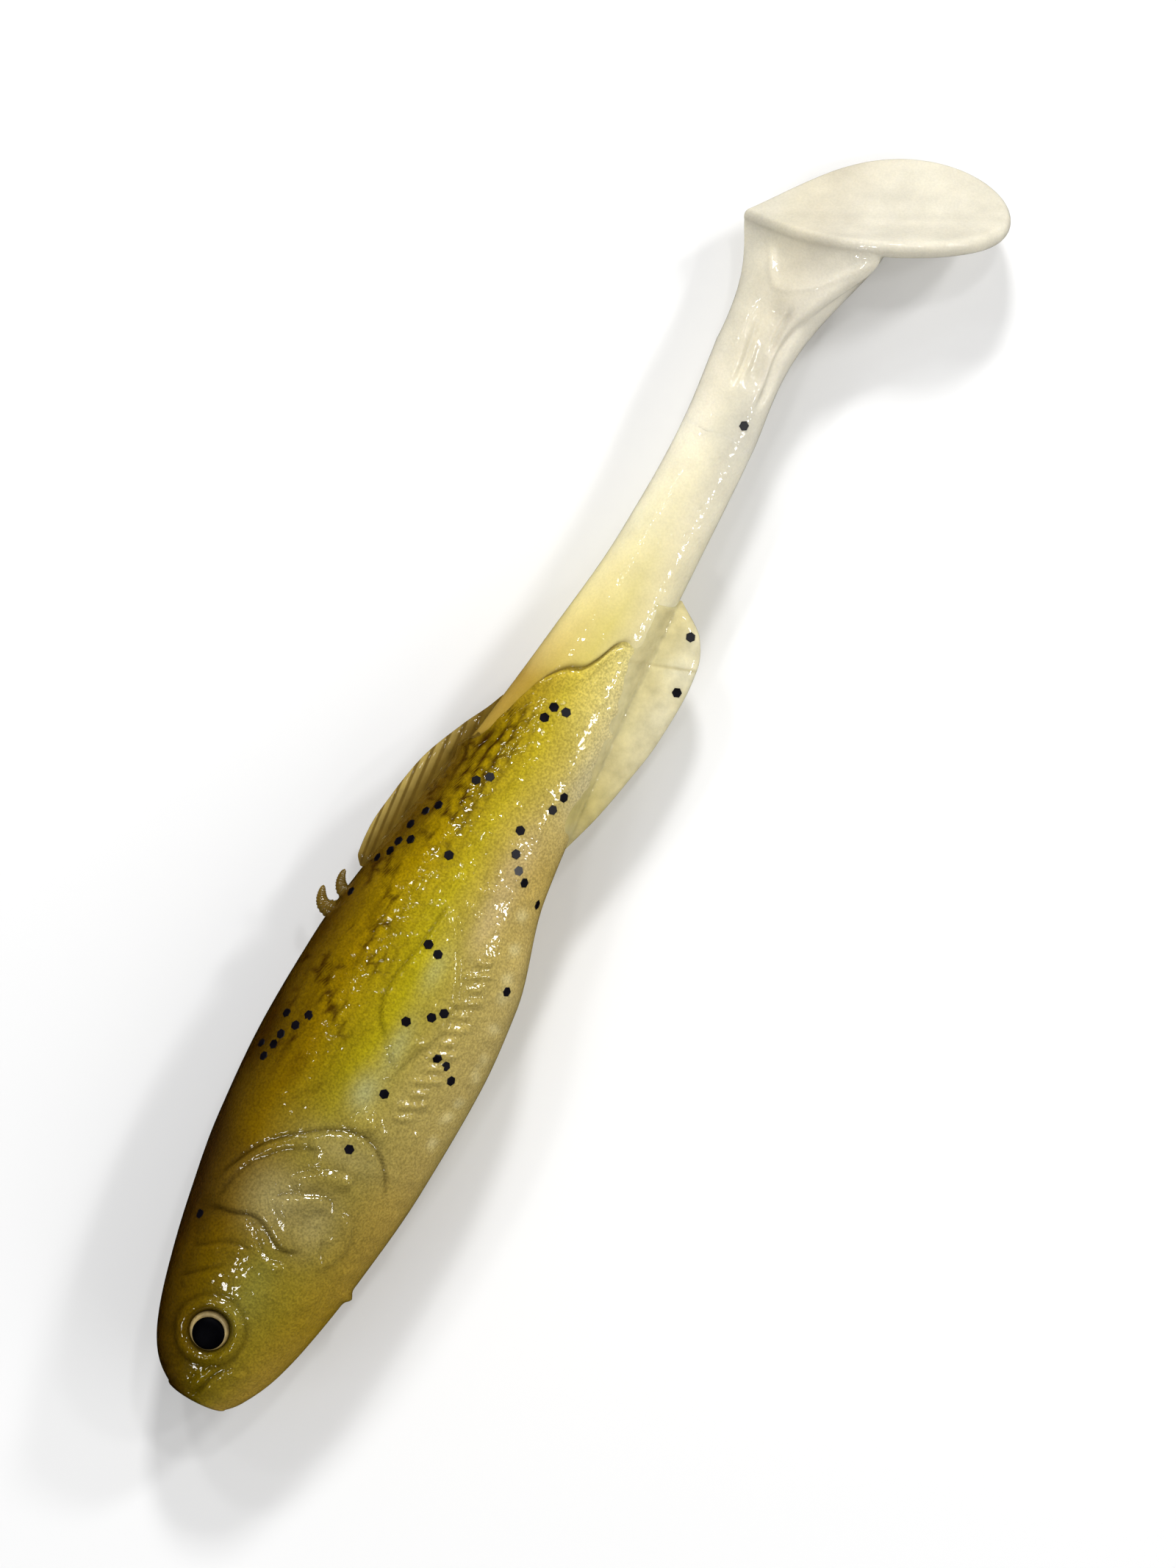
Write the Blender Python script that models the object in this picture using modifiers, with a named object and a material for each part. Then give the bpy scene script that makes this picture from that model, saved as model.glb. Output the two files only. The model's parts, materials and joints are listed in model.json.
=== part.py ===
"""A soft swimbait shad with a boot tail, lying on its right flank.

Every shape is worked out in the lure's own millimetres: x from the nose to the tail, y from the
belly to the back with 0 on the body's long axis, and z out of the left flank with 0 on the
mid-plane. place() turns them into world metres, with the origin under the middle of the lure.
"""

import math

import bmesh
import bpy
import numpy as np
from mathutils import Vector

# Overall size, in millimetres.
LENGTH = 120.0
BACK_TOP = 10.35
TOE_BOTTOM = -14.85
FLANK_HALF = 7.4
REST_FLAT = 0.25

# The joints' places along the body, and how far each may bend to one side, in degrees.
BODY_FLEX_X = 45.0
STEM_FLEX_X = 79.0
ANKLE_X = 98.0
BODY_FLEX_LIMIT = 12.0
STEM_FLEX_LIMIT = 35.0
ANKLE_LIMIT = 60.0
FREE_GAP = 0.3
HINGE_SPARE = 1.0

# The tail hangs a little below the mid-plane until the paddle's rim touches the table.
DROOP = 1.15
DROOP_START = 52.0
DROOP_END = 94.0

# The body's outline, width and squareness along x: each point is (x, value).
BACK_LINE = ((0, 0.7), (0.6, 2.3), (2.4, 4.3), (5, 5.6), (10, 7.0), (15, 8.0), (22, 9.0), (30, 9.4),
             (39, 9.0), (46, 8.0), (54, 6.4), (61, 4.9), (70, 3.5), (80, 2.25), (88, 1.95), (98, 2.7),
             (104, 4.0))
BELLY_LINE = ((0, -1.7), (0.6, -3.0), (2.4, -4.4), (5, -5.6), (10, -6.9), (15, -7.8), (24, -8.9),
              (34, -9.3), (41, -8.8), (50, -6.6), (57, -5.9), (70, -5.0), (80, -4.7), (90, -4.4),
              (98, -3.8), (104, -4.3))
FLANK_LINE = ((0, 1.4), (0.6, 2.4), (2.4, 3.8), (6, 5.3), (12, 6.5), (20, 7.15), (32, FLANK_HALF),
              (42, 6.9), (54, 5.4), (66, 4.1), (78, 3.2), (90, 2.75), (98, 2.7), (104, 2.8))
SECTION_POWER = 2.2

# The line between the dark back pour and the pale belly pour, seen on the flank.
POUR_LINE = ((-2, -0.6), (3, -1.2), (10, -2.4), (24, -3.0), (45, -3.2), (60, -3.0), (71.9, -2.6))
POUR_END = ((72.3, -1.9), (70.2, -1.1), (69.1, -0.4), (68.5, 0.7), (67.2, 1.8), (65.1, 2.7),
            (62.7, 3.4), (60.8, 4.0), (59.6, 5.4), (59.0, 7.5))

# The eyes. DOME_SHARES are the heights of the pupil's rings as shares of its radius.
EYE_X = 6.0
EYE_Y = 1.2
IRIS_RADIUS = 1.65
IRIS_THICKNESS = 0.6
PUPIL_RADIUS = 1.35
PUPIL_RISE = 0.75
DOME_SHARES = (0.0, 0.45, 0.75, 0.93)
EYE_SIDES = 24
SOCKET_RADIUS = 1.95
SOCKET_DEPTH = 1.3
SOCKET_REACH = 3.0
SOCKET_SIDES = 20

# The fins and the two hooked spines, all on the mid-plane.
DORSAL_FIN_TOP = ((45.9, 8.75), (46.5, 9.0), (48.9, 9.2), (52.0, 8.8), (55.6, 8.1), (59.9, 6.3),
                  (62.6, 5.0), (63.4, 4.75))
DORSAL_FIN_LIFT = 0.3
DORSAL_FIN_THICKNESS = 0.9
ANAL_FIN_EDGE = ((55.4, -6.4), (58.4, -7.2), (62.0, -8.0), (66.0, -8.7), (70.5, -8.95), (73.0, -8.75),
                 (75.4, -7.7), (77.2, -5.7))
ANAL_FIN_LIFT = 0.3
ANAL_FIN_THICKNESS = 1.1
SPINE_FRONT = ((41.0, 9.3, 0.55), (41.2, 9.8, 0.5), (41.8, 10.05, 0.3), (42.5, 10.15, 0.16))
SPINE_REAR = ((43.2, 8.85, 0.5), (43.4, 9.2, 0.42), (44.0, 9.3, 0.26), (44.6, 9.25, 0.15))
DORSAL_FIN_PIVOT = (54.65, 6.41)
ANAL_FIN_PIVOT = (66.3, -5.57)
FIN_STATIONS = 24

# The paddle: a teardrop plate across the tail, its toe towards the belly and aft.
HEEL = (108.2, 5.75)
PADDLE_SKEW = 27.0
PADDLE_KICK = 37.0
PADDLE_LENGTH = 22.2
PADDLE_HALF_WIDTH = 6.5
PADDLE_WIDEST = 0.6
HEEL_SHARPNESS = 0.95
PADDLE_THICKNESS = 1.7
PADDLE_DISH = 1.2
PADDLE_STEPS = 22
PADDLE_RINGS = (0.4, 0.72, 1.0)

# The ankle flares from the stem to a foot that is sunk in the plate.
ANKLE_FOOT_START = 0.6
ANKLE_FOOT_END = 12.4
ANKLE_FOOT_HALF = 4.3
ANKLE_FOOT_LEAST = 0.2
ANKLE_FOOT_INSET = 0.6
ANKLE_FOOT_DEPTH = 1.02
FLARE_STEPS = 8
FLARE_LEAVE = 5.5
FLARE_ARRIVE = 3.5

# Black hexagonal glitter, on the left flank: (x, y) of each flake.
FLAKE_RADIUS = 0.44
FLAKE_SIDES = 6
FLAKE_THICKNESS = 0.12
FLAKE_SUNK = 0.2
POCKET_RADIUS = 0.58
POCKET_DEPTH = 0.42
POCKET_SIDES = 8
FRONT_FLAKES = ((14.0, 6.4), (24.6, -1.9), (28.0, 7.9), (28.9, 8.5), (29.3, 7.6), (30.3, 7.5),
                (31.6, 6.8), (32.2, 7.9), (32.8, 6.2), (30.1, -2.4), (33.4, -6.7), (34.3, -5.8),
                (34.7, -4.8), (36.1, -1.1), (37.4, -2.8), (38.2, -3.7), (42.3, -0.9), (42.6, 0.1),
                (42.2, -7.4), (43.4, 7.9))
REAR_FLAKES = ((46.8, 7.3), (47.9, 6.6), (48.9, 6.4), (49.6, 5.6), (50.6, 6.2), (52.1, 5.6),
               (53.1, 4.9), (49.9, 2.1), (49.6, -6.2), (50.7, -4.4), (51.3, -3.5), (52.5, -2.7),
               (54.3, -2.1), (56.3, 3.1), (57.1, 2.3), (57.2, -3.7), (58.5, -4.0), (63.5, 0.5),
               (64.6, 0.2), (64.8, -0.8))
FIN_FLAKES = ((70.5, -8.1), (75.1, -7.0))
STEM_FLAKES = ((92.5, -2.7),)

# How finely the body is divided, and how far the cutters reach past it.
RING_POINTS = 26
BODY_STATIONS = 15
NOSE_CROWDING = 1.35
CUTTER_REACH = 14.0
CUTTER_SIDE = 20.0
FIRST_X = -2.0
LAST_X = 130.0
POUR_TOP_X = 59.0
TABLE_DEPTH = 30.0
SMOOTH_ANGLE = math.radians(40)


def place(x, y, z):
    """World metres of a point given in the lure's own millimetres."""
    shift_y = -(BACK_TOP + TOE_BOTTOM) / 2
    height = FLANK_HALF - REST_FLAT
    return Vector(((x - LENGTH / 2) / 1000, (y + shift_y) / 1000, (z + height) / 1000))


def smooth_curve(points):
    """A function that runs smoothly through (x, value) points without overshooting them."""
    xs = np.array([point[0] for point in points], float)
    ys = np.array([point[1] for point in points], float)
    steps = np.diff(xs)
    slopes = np.diff(ys) / steps
    tangents = np.zeros(len(xs))
    same_way = slopes[:-1] * slopes[1:] > 0
    weight_a = 2 * steps[1:] + steps[:-1]
    weight_b = steps[1:] + 2 * steps[:-1]
    safe_a = np.where(same_way, slopes[:-1], 1)
    safe_b = np.where(same_way, slopes[1:], 1)
    mean = (weight_a + weight_b) / (weight_a / safe_a + weight_b / safe_b)
    tangents[1:-1] = np.where(same_way, mean, 0)
    tangents[0] = slopes[0]
    tangents[-1] = slopes[-1]

    def value(x):
        x = min(max(x, xs[0]), xs[-1])
        i = min(int(np.searchsorted(xs, x, side="right")) - 1, len(steps) - 1)
        t = (x - xs[i]) / steps[i]
        start = (1 + 2 * t) * (1 - t) ** 2 * ys[i] + t * (1 - t) ** 2 * steps[i] * tangents[i]
        end = t * t * (3 - 2 * t) * ys[i + 1] + t * t * (t - 1) * steps[i] * tangents[i + 1]
        return float(start + end)

    return value


back_y = smooth_curve(BACK_LINE)
belly_y = smooth_curve(BELLY_LINE)
half_width = smooth_curve(FLANK_LINE)


def centre_z(x):
    """Height of the body's middle, which sinks towards the tail."""
    t = min(max((x - DROOP_START) / (DROOP_END - DROOP_START), 0), 1)
    return -DROOP * t * t * (3 - 2 * t)


def section(x):
    """The body's cross-section at x, as points from the back round by the left flank."""
    middle = (back_y(x) + belly_y(x)) / 2
    half_height = (back_y(x) - belly_y(x)) / 2
    ring = []
    for i in range(RING_POINTS):
        angle = 2 * math.pi * i / RING_POINTS
        across = abs(math.sin(angle)) ** (2 / SECTION_POWER) * math.copysign(1, math.sin(angle))
        up = abs(math.cos(angle)) ** (2 / SECTION_POWER) * math.copysign(1, math.cos(angle))
        ring.append((x, middle + half_height * up, centre_z(x) + half_width(x) * across))
    return ring


def flank(x, y):
    """The point of the left flank at (x, y) and the direction that it faces."""
    def height(px, py):
        middle = (back_y(px) + belly_y(px)) / 2
        half_height = (back_y(px) - belly_y(px)) / 2
        off = min(abs(py - middle) / half_height, 0.999)
        return centre_z(px) + half_width(px) * (1 - off**SECTION_POWER) ** (1 / SECTION_POWER)

    reach = 0.1
    slope_x = (height(x + reach, y) - height(x - reach, y)) / (2 * reach)
    slope_y = (height(x, y + reach) - height(x, y - reach)) / (2 * reach)
    return Vector((x, y, height(x, y))), Vector((-slope_x, -slope_y, 1)).normalized()


def material(name, colour, roughness):
    made = bpy.data.materials.new(name)
    made.use_nodes = True
    shader = made.node_tree.nodes["Principled BSDF"]
    shader.inputs["Base Color"].default_value = (*colour, 1)
    shader.inputs["Roughness"].default_value = roughness
    shader.inputs["Metallic"].default_value = 0
    return made


def collection(name):
    made = bpy.data.collections.new(name)
    bpy.context.scene.collection.children.link(made)
    return made


def pivot(name, point, parent, group):
    """An empty on a joint's axis, for the pieces that swing about it."""
    empty = bpy.data.objects.new(name, None)
    empty.empty_display_size = 0.004
    group.objects.link(empty)
    empty["at"] = list(place(*point))
    if parent:
        empty.parent = parent
        empty.location = Vector(empty["at"]) - Vector(parent["at"])
    else:
        empty.location = empty["at"]
    return empty


def mesh_object(name, points, faces, group, surface=None, parent=None):
    """A mesh from points in millimetres, hung from the empty of the joint that it swings about."""
    origin = Vector(parent["at"]) if parent else Vector((0, 0, 0))
    mesh = bpy.data.meshes.new(name)
    mesh.from_pydata([place(*point) - origin for point in points], [], faces)
    shell = bmesh.new()
    shell.from_mesh(mesh)
    bmesh.ops.recalc_face_normals(shell, faces=shell.faces)
    shell.to_mesh(mesh)
    shell.free()
    obj = bpy.data.objects.new(name, mesh)
    group.objects.link(obj)
    obj.parent = parent
    if surface:
        mesh.materials.append(surface)
        mesh.shade_smooth()
        mesh.set_sharp_from_angle(angle=SMOOTH_ANGLE)
    return obj


def loft(rings):
    """Points and faces of a closed solid through rings of equal count, with flat ends."""
    count = len(rings[0])
    points = [point for ring in rings for point in ring]
    faces = [tuple(range(count)), tuple(range(len(points) - count, len(points)))]
    for r in range(len(rings) - 1):
        for i in range(count):
            j = (i + 1) % count
            faces.append((r * count + i, r * count + j, (r + 1) * count + j, (r + 1) * count + i))
    return points, faces


def body_length(start, end, crowd):
    """A length of body from start to end, with more sections near start where crowd is over 1."""
    rings = []
    for i in range(BODY_STATIONS + 1):
        rings.append(section(start + (end - start) * (i / BODY_STATIONS) ** crowd))
    return loft(rings)


def prism(outline, start, end, to_point):
    """Points and faces of a flat outline drawn out from start to end."""
    return loft([[to_point(a, b, depth) for a, b in outline] for depth in (start, end)])


def cutter(name, shape, group):
    obj = mesh_object(name, *shape, group)
    obj.hide_render = True
    obj.display_type = "WIRE"
    return obj


def boolean(obj, other, operation, overlapping=False):
    change = obj.modifiers.new(other.name, "BOOLEAN")
    change.object = other
    change.operation = operation
    change.use_self = overlapping


def flex_gap(name, x, limit, group):
    """The hourglass gap at a bending joint: narrow on the axis and wide enough at the flanks."""
    spread = CUTTER_REACH * math.tan(math.radians(limit / 2 + HINGE_SPARE))
    near = FREE_GAP / 2
    far = near + spread
    middle = centre_z(x)
    outline = ((x - near, middle), (x - far, middle + CUTTER_REACH), (x + far, middle + CUTTER_REACH),
               (x + near, middle), (x + far, middle - CUTTER_REACH), (x - far, middle - CUTTER_REACH))
    shape = prism(outline, -CUTTER_SIDE, CUTTER_SIDE, lambda a, b, depth: (a, depth, b))
    return cutter(name, shape, group)


def flank_region(name, outline, group):
    """A solid right through the lure, with the given outline on the flank."""
    shape = prism(outline, -CUTTER_REACH, CUTTER_REACH, lambda a, b, depth: (a, b, depth))
    return cutter(name, shape, group)


def offset_points(points, dx, dy):
    return [(x + dx, y + dy) for x, y in points]


def disc_on(point, facing, radius, near, far, sides):
    """Rings of a flat round or many-sided disc that stands on a surface point."""
    turn = facing.to_track_quat("Z", "Y").to_matrix()
    rings = []
    for depth in (near, far):
        ring = []
        for i in range(sides):
            angle = 2 * math.pi * i / sides
            local = Vector((radius * math.cos(angle), radius * math.sin(angle), depth))
            ring.append(tuple(point + turn @ local))
        rings.append(ring)
    return rings


def mirrored(shape, wanted):
    points, faces = shape
    return ([(x, y, -z) for x, y, z in points], faces) if wanted else shape


def merged(shapes):
    """One mesh of several closed shapes, for a cutter."""
    points = []
    faces = []
    for shape_points, shape_faces in shapes:
        base = len(points)
        points += shape_points
        faces += [tuple(base + i for i in face) for face in shape_faces]
    return points, faces


def flake_pockets(name, places, group):
    shapes = []
    for x, y in places:
        point, facing = flank(x, y)
        rings = disc_on(point, facing, POCKET_RADIUS, -POCKET_DEPTH, POCKET_DEPTH * 3, POCKET_SIDES)
        shapes.append(loft(rings))
    return cutter(name, merged(shapes), group)


def add_flakes(prefix, places, group, surface, parent):
    for number, (x, y) in enumerate(places, 1):
        point, facing = flank(x, y)
        top = FLAKE_THICKNESS - FLAKE_SUNK
        shape = loft(disc_on(point, facing, FLAKE_RADIUS, -FLAKE_SUNK, top, FLAKE_SIDES))
        mesh_object(f"{prefix}_flake_{number:02d}", *shape, group, surface, parent)


def add_fin_flakes(places, group, surface, parent):
    for number, (x, y) in enumerate(places, 1):
        point = Vector((x, y, centre_z(x) + ANAL_FIN_THICKNESS / 2 + FREE_GAP / 3))
        facing = Vector((0, 0, 1))
        shape = loft(disc_on(point, facing, FLAKE_RADIUS, 0, FLAKE_THICKNESS, FLAKE_SIDES))
        mesh_object(f"anal_fin_flake_{number:02d}", *shape, group, surface, parent)


def dome(point, facing, radius, base, rise, sides):
    """A low dome on a flat base, as rings from the base to the crown."""
    turn = facing.to_track_quat("Z", "Y").to_matrix()
    rings = []
    for share in DOME_SHARES:
        around = radius * math.sqrt(1 - share**2)
        ring = []
        for i in range(sides):
            angle = 2 * math.pi * i / sides
            local = Vector((around * math.cos(angle), around * math.sin(angle), base + rise * share))
            ring.append(tuple(point + turn @ local))
        rings.append(ring)
    return loft(rings)


def add_eye(side, mirror, group, cutters, iris_surface, pupil_surface, head):
    point, facing = flank(EYE_X, EYE_Y)
    socket = loft(disc_on(point, facing, SOCKET_RADIUS, -SOCKET_DEPTH, SOCKET_REACH, SOCKET_SIDES))
    boolean(head, cutter(f"{side}_eye_socket", mirrored(socket, mirror), cutters), "DIFFERENCE")
    iris_back = FREE_GAP / 2 - SOCKET_DEPTH
    iris_front = iris_back + IRIS_THICKNESS
    iris = loft(disc_on(point, facing, IRIS_RADIUS, iris_back, iris_front, EYE_SIDES))
    mesh_object(f"{side}_eye_iris", *mirrored(iris, mirror), group, iris_surface)
    pupil_back = iris_front + FREE_GAP / 2
    pupil = dome(point, facing, PUPIL_RADIUS, pupil_back, PUPIL_RISE, EYE_SIDES)
    mesh_object(f"{side}_eye_pupil", *mirrored(pupil, mirror), group, pupil_surface)


def fin_shape(edge, root, lift, thickness):
    """A thin blade from its root line, lift clear of the body, to its free edge, slimmer there."""
    first = edge[0][0]
    last = edge[-1][0]
    edge_y = smooth_curve(edge)
    rings = []
    for i in range(FIN_STATIONS + 1):
        x = first + (last - first) * i / FIN_STATIONS
        low = root(x) + lift
        high = edge_y(x)
        middle = centre_z(x)
        wide = thickness / 2
        thin = thickness / 4
        rings.append([(x, low, middle - wide), (x, high, middle - thin),
                      (x, high, middle + thin), (x, low, middle + wide)])
    return loft(rings)


def add_spine(name, course, group, surface):
    """A small hooked barb: a tapering curve made into a closed mesh."""
    curve = bpy.data.curves.new(name, "CURVE")
    curve.dimensions = "3D"
    curve.bevel_depth = 0.001
    curve.bevel_resolution = 3
    curve.use_fill_caps = True
    spline = curve.splines.new("POLY")
    spline.points.add(len(course) - 1)
    for spot, (x, y, radius) in zip(spline.points, course):
        spot.co = (*place(x, y, 0), 1)
        spot.radius = radius
    guide = bpy.data.objects.new(name + "_guide", curve)
    group.objects.link(guide)
    graph = bpy.context.evaluated_depsgraph_get()
    mesh = bpy.data.meshes.new_from_object(guide.evaluated_get(graph))
    shell = bmesh.new()
    shell.from_mesh(mesh)
    bmesh.ops.remove_doubles(shell, verts=shell.verts, dist=0.00001)
    bmesh.ops.recalc_face_normals(shell, faces=shell.faces)
    shell.to_mesh(mesh)
    shell.free()
    bpy.data.objects.remove(guide)
    mesh.name = name
    mesh.materials.clear()
    mesh.materials.append(surface)
    mesh.shade_smooth()
    group.objects.link(bpy.data.objects.new(name, mesh))


def paddle_axes():
    """The paddle's directions: along it from heel to toe, across its width, and out of its sole."""
    skew = math.radians(PADDLE_SKEW)
    kick = math.radians(PADDLE_KICK)
    along = Vector((math.sin(skew), -math.cos(skew), 0))
    level = Vector((math.cos(skew), math.sin(skew), 0))
    out = level * math.cos(kick) + Vector((0, 0, math.sin(kick)))
    across = Vector((0, 0, math.cos(kick))) - level * math.sin(kick)
    return along, across, out


def paddle_half(share):
    """Half width of the teardrop at a share of its length: a point at the heel, round at the toe."""
    if share < PADDLE_WIDEST:
        t = share / PADDLE_WIDEST
        return PADDLE_HALF_WIDTH * (t * (2 - t)) ** HEEL_SHARPNESS
    t = (share - PADDLE_WIDEST) / (1 - PADDLE_WIDEST)
    return PADDLE_HALF_WIDTH * math.sqrt(max(1 - t * t, 0))


def paddle_point(share, width, depth):
    """A point of the paddle: depth is measured from the sole towards the ankle."""
    along, across, out = paddle_axes()
    heel = Vector((*HEEL, centre_z(LENGTH)))
    dish = PADDLE_DISH * (width / PADDLE_HALF_WIDTH) ** 2
    return heel + along * (share * PADDLE_LENGTH) + across * width + out * (dish - depth)


def paddle_sheet():
    """Points and faces of the dished sole: a centre point and rings of points out to the border."""
    outline = []
    for i in range(PADDLE_STEPS + 1):
        share = (1 - math.cos(math.pi * i / PADDLE_STEPS)) / 2
        outline.append((share, paddle_half(share)))
    border = outline + [(share, -half) for share, half in reversed(outline[1:-1])]
    count = len(border)
    points = [tuple(paddle_point(PADDLE_WIDEST, 0, 0))]
    for scale in PADDLE_RINGS:
        for share, half in border:
            near_share = PADDLE_WIDEST + (share - PADDLE_WIDEST) * scale
            points.append(tuple(paddle_point(near_share, half * scale, 0)))
    faces = [(0, 1 + i, 1 + (i + 1) % count) for i in range(count)]
    for ring in range(len(PADDLE_RINGS) - 1):
        for i in range(count):
            j = (i + 1) % count
            inner = 1 + ring * count
            outer = inner + count
            faces.append((inner + i, outer + i, outer + j, inner + j))
    return points, faces


def ankle_flare():
    """Points and faces of the ankle: it leaves the stem straight and turns to meet the plate."""
    out = paddle_axes()[2]
    middle = (ANKLE_FOOT_START + ANKLE_FOOT_END) / 2
    reach = (ANKLE_FOOT_END - ANKLE_FOOT_START) / 2
    start = section(ANKLE_X)
    rings = []
    for step in range(FLARE_STEPS + 1):
        t = step / FLARE_STEPS
        ring = []
        for i, (x, y, z) in enumerate(start):
            angle = 2 * math.pi * i / RING_POINTS
            share = (middle - reach * math.cos(angle)) / PADDLE_LENGTH
            widest = max(paddle_half(share) - ANKLE_FOOT_INSET, ANKLE_FOOT_LEAST)
            half = min(ANKLE_FOOT_HALF, widest)
            goal = paddle_point(share, half * math.sin(angle), ANKLE_FOOT_DEPTH)
            first = Vector((x, y, z))
            leave = first + Vector((FLARE_LEAVE, 0, 0))
            arrive = goal - out * FLARE_ARRIVE
            ring.append(tuple(first * (1 - t) ** 3 + leave * 3 * t * (1 - t) ** 2
                              + arrive * 3 * t * t * (1 - t) + goal * t**3))
        rings.append(ring)
    return loft(rings)


def add_paddle(group, cutters, surface, parent):
    """The plate, an open dished sheet made solid, joined to the ankle that flares into it."""
    plate = mesh_object("paddle", *paddle_sheet(), group, surface, parent)
    if plate.data.polygons[0].normal.dot(paddle_axes()[2]) < 0:
        plate.data.flip_normals()
    thicken = plate.modifiers.new("thickness", "SOLIDIFY")
    thicken.thickness = PADDLE_THICKNESS / 1000
    thicken.offset = -1
    thicken.use_even_offset = False
    boolean(plate, cutter("ankle_flare", ankle_flare(), cutters), "UNION")
    return plate


def main():
    for obj in list(bpy.data.objects):
        bpy.data.objects.remove(obj)
    bpy.context.scene.unit_settings.system = "METRIC"
    bpy.context.scene.unit_settings.scale_length = 1.0
    lure = collection("swimbait")
    cutters = collection("swimbait_cutters")

    olive = material("back_pour_olive", (0.30, 0.24, 0.03), 0.25)
    pearl = material("belly_pour_pearl", (0.55, 0.50, 0.28), 0.25)
    cream = material("tail_pour_cream", (0.80, 0.76, 0.58), 0.25)
    fin = material("fin_olive", (0.24, 0.19, 0.05), 0.3)
    black = material("glitter_black", (0.01, 0.01, 0.015), 0.2)
    gold = material("iris_gold", (0.62, 0.45, 0.2), 0.3)
    pupil = material("pupil_black", (0.004, 0.004, 0.004), 0.1)

    body_pivot = pivot("body_flex_pivot", (BODY_FLEX_X, 0, centre_z(BODY_FLEX_X)), None, lure)
    stem_pivot = pivot("stem_flex_pivot", (STEM_FLEX_X, 0, centre_z(STEM_FLEX_X)), body_pivot, lure)
    ankle_pivot = pivot("paddle_kick_pivot", (ANKLE_X, 0, centre_z(ANKLE_X)), stem_pivot, lure)
    dorsal_at = (*DORSAL_FIN_PIVOT, centre_z(DORSAL_FIN_PIVOT[0]))
    dorsal_pivot = pivot("dorsal_fin_pivot", dorsal_at, body_pivot, lure)
    anal_at = (*ANAL_FIN_PIVOT, centre_z(ANAL_FIN_PIVOT[0]))
    anal_pivot = pivot("anal_fin_pivot", anal_at, body_pivot, lure)

    body_gap = flex_gap("body_flex_gap", BODY_FLEX_X, BODY_FLEX_LIMIT, cutters)
    stem_gap = flex_gap("stem_flex_gap", STEM_FLEX_X, STEM_FLEX_LIMIT, cutters)
    ankle_gap = flex_gap("ankle_gap", ANKLE_X, ANKLE_LIMIT, cutters)
    table_outline = ((FIRST_X, -CUTTER_SIDE), (LAST_X, -CUTTER_SIDE), (LAST_X, CUTTER_SIDE),
                     (FIRST_X, CUTTER_SIDE))
    table_top = REST_FLAT - FLANK_HALF
    table_shape = prism(table_outline, -TABLE_DEPTH, table_top, lambda a, b, depth: (a, b, depth))
    table = cutter("table", table_shape, cutters)

    # The parting line runs along the flank; the rear end of the back pour turns up to the back.
    half_gap = FREE_GAP / 2
    back_outline = offset_points(POUR_LINE, 0, half_gap)
    back_outline += offset_points(POUR_END, -half_gap, -half_gap)
    back_outline += [(POUR_TOP_X, CUTTER_SIDE), (FIRST_X, CUTTER_SIDE)]
    back_region = flank_region("back_pour_region", back_outline, cutters)
    belly_outline = offset_points(POUR_LINE, 0, -half_gap)
    belly_outline += offset_points(POUR_END, half_gap, half_gap)
    belly_outline += [(POUR_TOP_X + FREE_GAP, CUTTER_SIDE), (LAST_X, CUTTER_SIDE)]
    belly_outline += [(LAST_X, -CUTTER_SIDE), (FIRST_X, -CUTTER_SIDE)]
    belly_region = flank_region("belly_pour_region", belly_outline, cutters)

    front_pockets = flake_pockets("front_flake_pockets", FRONT_FLAKES, cutters)
    rear_pockets = flake_pockets("rear_flake_pockets", REAR_FLAKES, cutters)
    stem_pockets = flake_pockets("stem_flake_pockets", STEM_FLAKES, cutters)

    front_shape = body_length(0, BODY_FLEX_X, NOSE_CROWDING)
    rear_shape = body_length(BODY_FLEX_X, STEM_FLEX_X, 1)
    for part, region, surface in (("back", back_region, olive), ("belly", belly_region, pearl)):
        front = mesh_object(f"front_{part}_pour", *front_shape, lure, surface)
        boolean(front, region, "INTERSECT")
        boolean(front, body_gap, "DIFFERENCE")
        boolean(front, table, "DIFFERENCE")
        boolean(front, front_pockets, "DIFFERENCE", overlapping=True)
        rear = mesh_object(f"rear_{part}_pour", *rear_shape, lure, surface, body_pivot)
        boolean(rear, region, "INTERSECT")
        boolean(rear, body_gap, "DIFFERENCE")
        if part == "belly":
            boolean(rear, stem_gap, "DIFFERENCE")
        boolean(rear, rear_pockets, "DIFFERENCE", overlapping=True)
        if part == "back":
            add_eye("left", False, lure, cutters, gold, pupil, front)
            add_eye("right", True, lure, cutters, gold, pupil, front)

    stem = mesh_object("tail_stem", *body_length(STEM_FLEX_X, ANKLE_X, 1), lure, cream, stem_pivot)
    boolean(stem, stem_gap, "DIFFERENCE")
    boolean(stem, ankle_gap, "DIFFERENCE")
    boolean(stem, stem_pockets, "DIFFERENCE")
    paddle = add_paddle(lure, cutters, cream, ankle_pivot)
    boolean(paddle, ankle_gap, "DIFFERENCE")

    dorsal = fin_shape(DORSAL_FIN_TOP, back_y, DORSAL_FIN_LIFT, DORSAL_FIN_THICKNESS)
    mesh_object("dorsal_fin", *dorsal, lure, fin, dorsal_pivot)
    anal = fin_shape(ANAL_FIN_EDGE, belly_y, -ANAL_FIN_LIFT, ANAL_FIN_THICKNESS)
    mesh_object("anal_fin", *anal, lure, cream, anal_pivot)
    add_spine("dorsal_spine_front", SPINE_FRONT, lure, fin)
    add_spine("dorsal_spine_rear", SPINE_REAR, lure, fin)

    add_flakes("front", FRONT_FLAKES, lure, black, None)
    add_flakes("rear", REAR_FLAKES, lure, black, body_pivot)
    add_flakes("stem", STEM_FLAKES, lure, black, stem_pivot)
    add_fin_flakes(FIN_FLAKES, lure, black, anal_pivot)


main()
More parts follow.
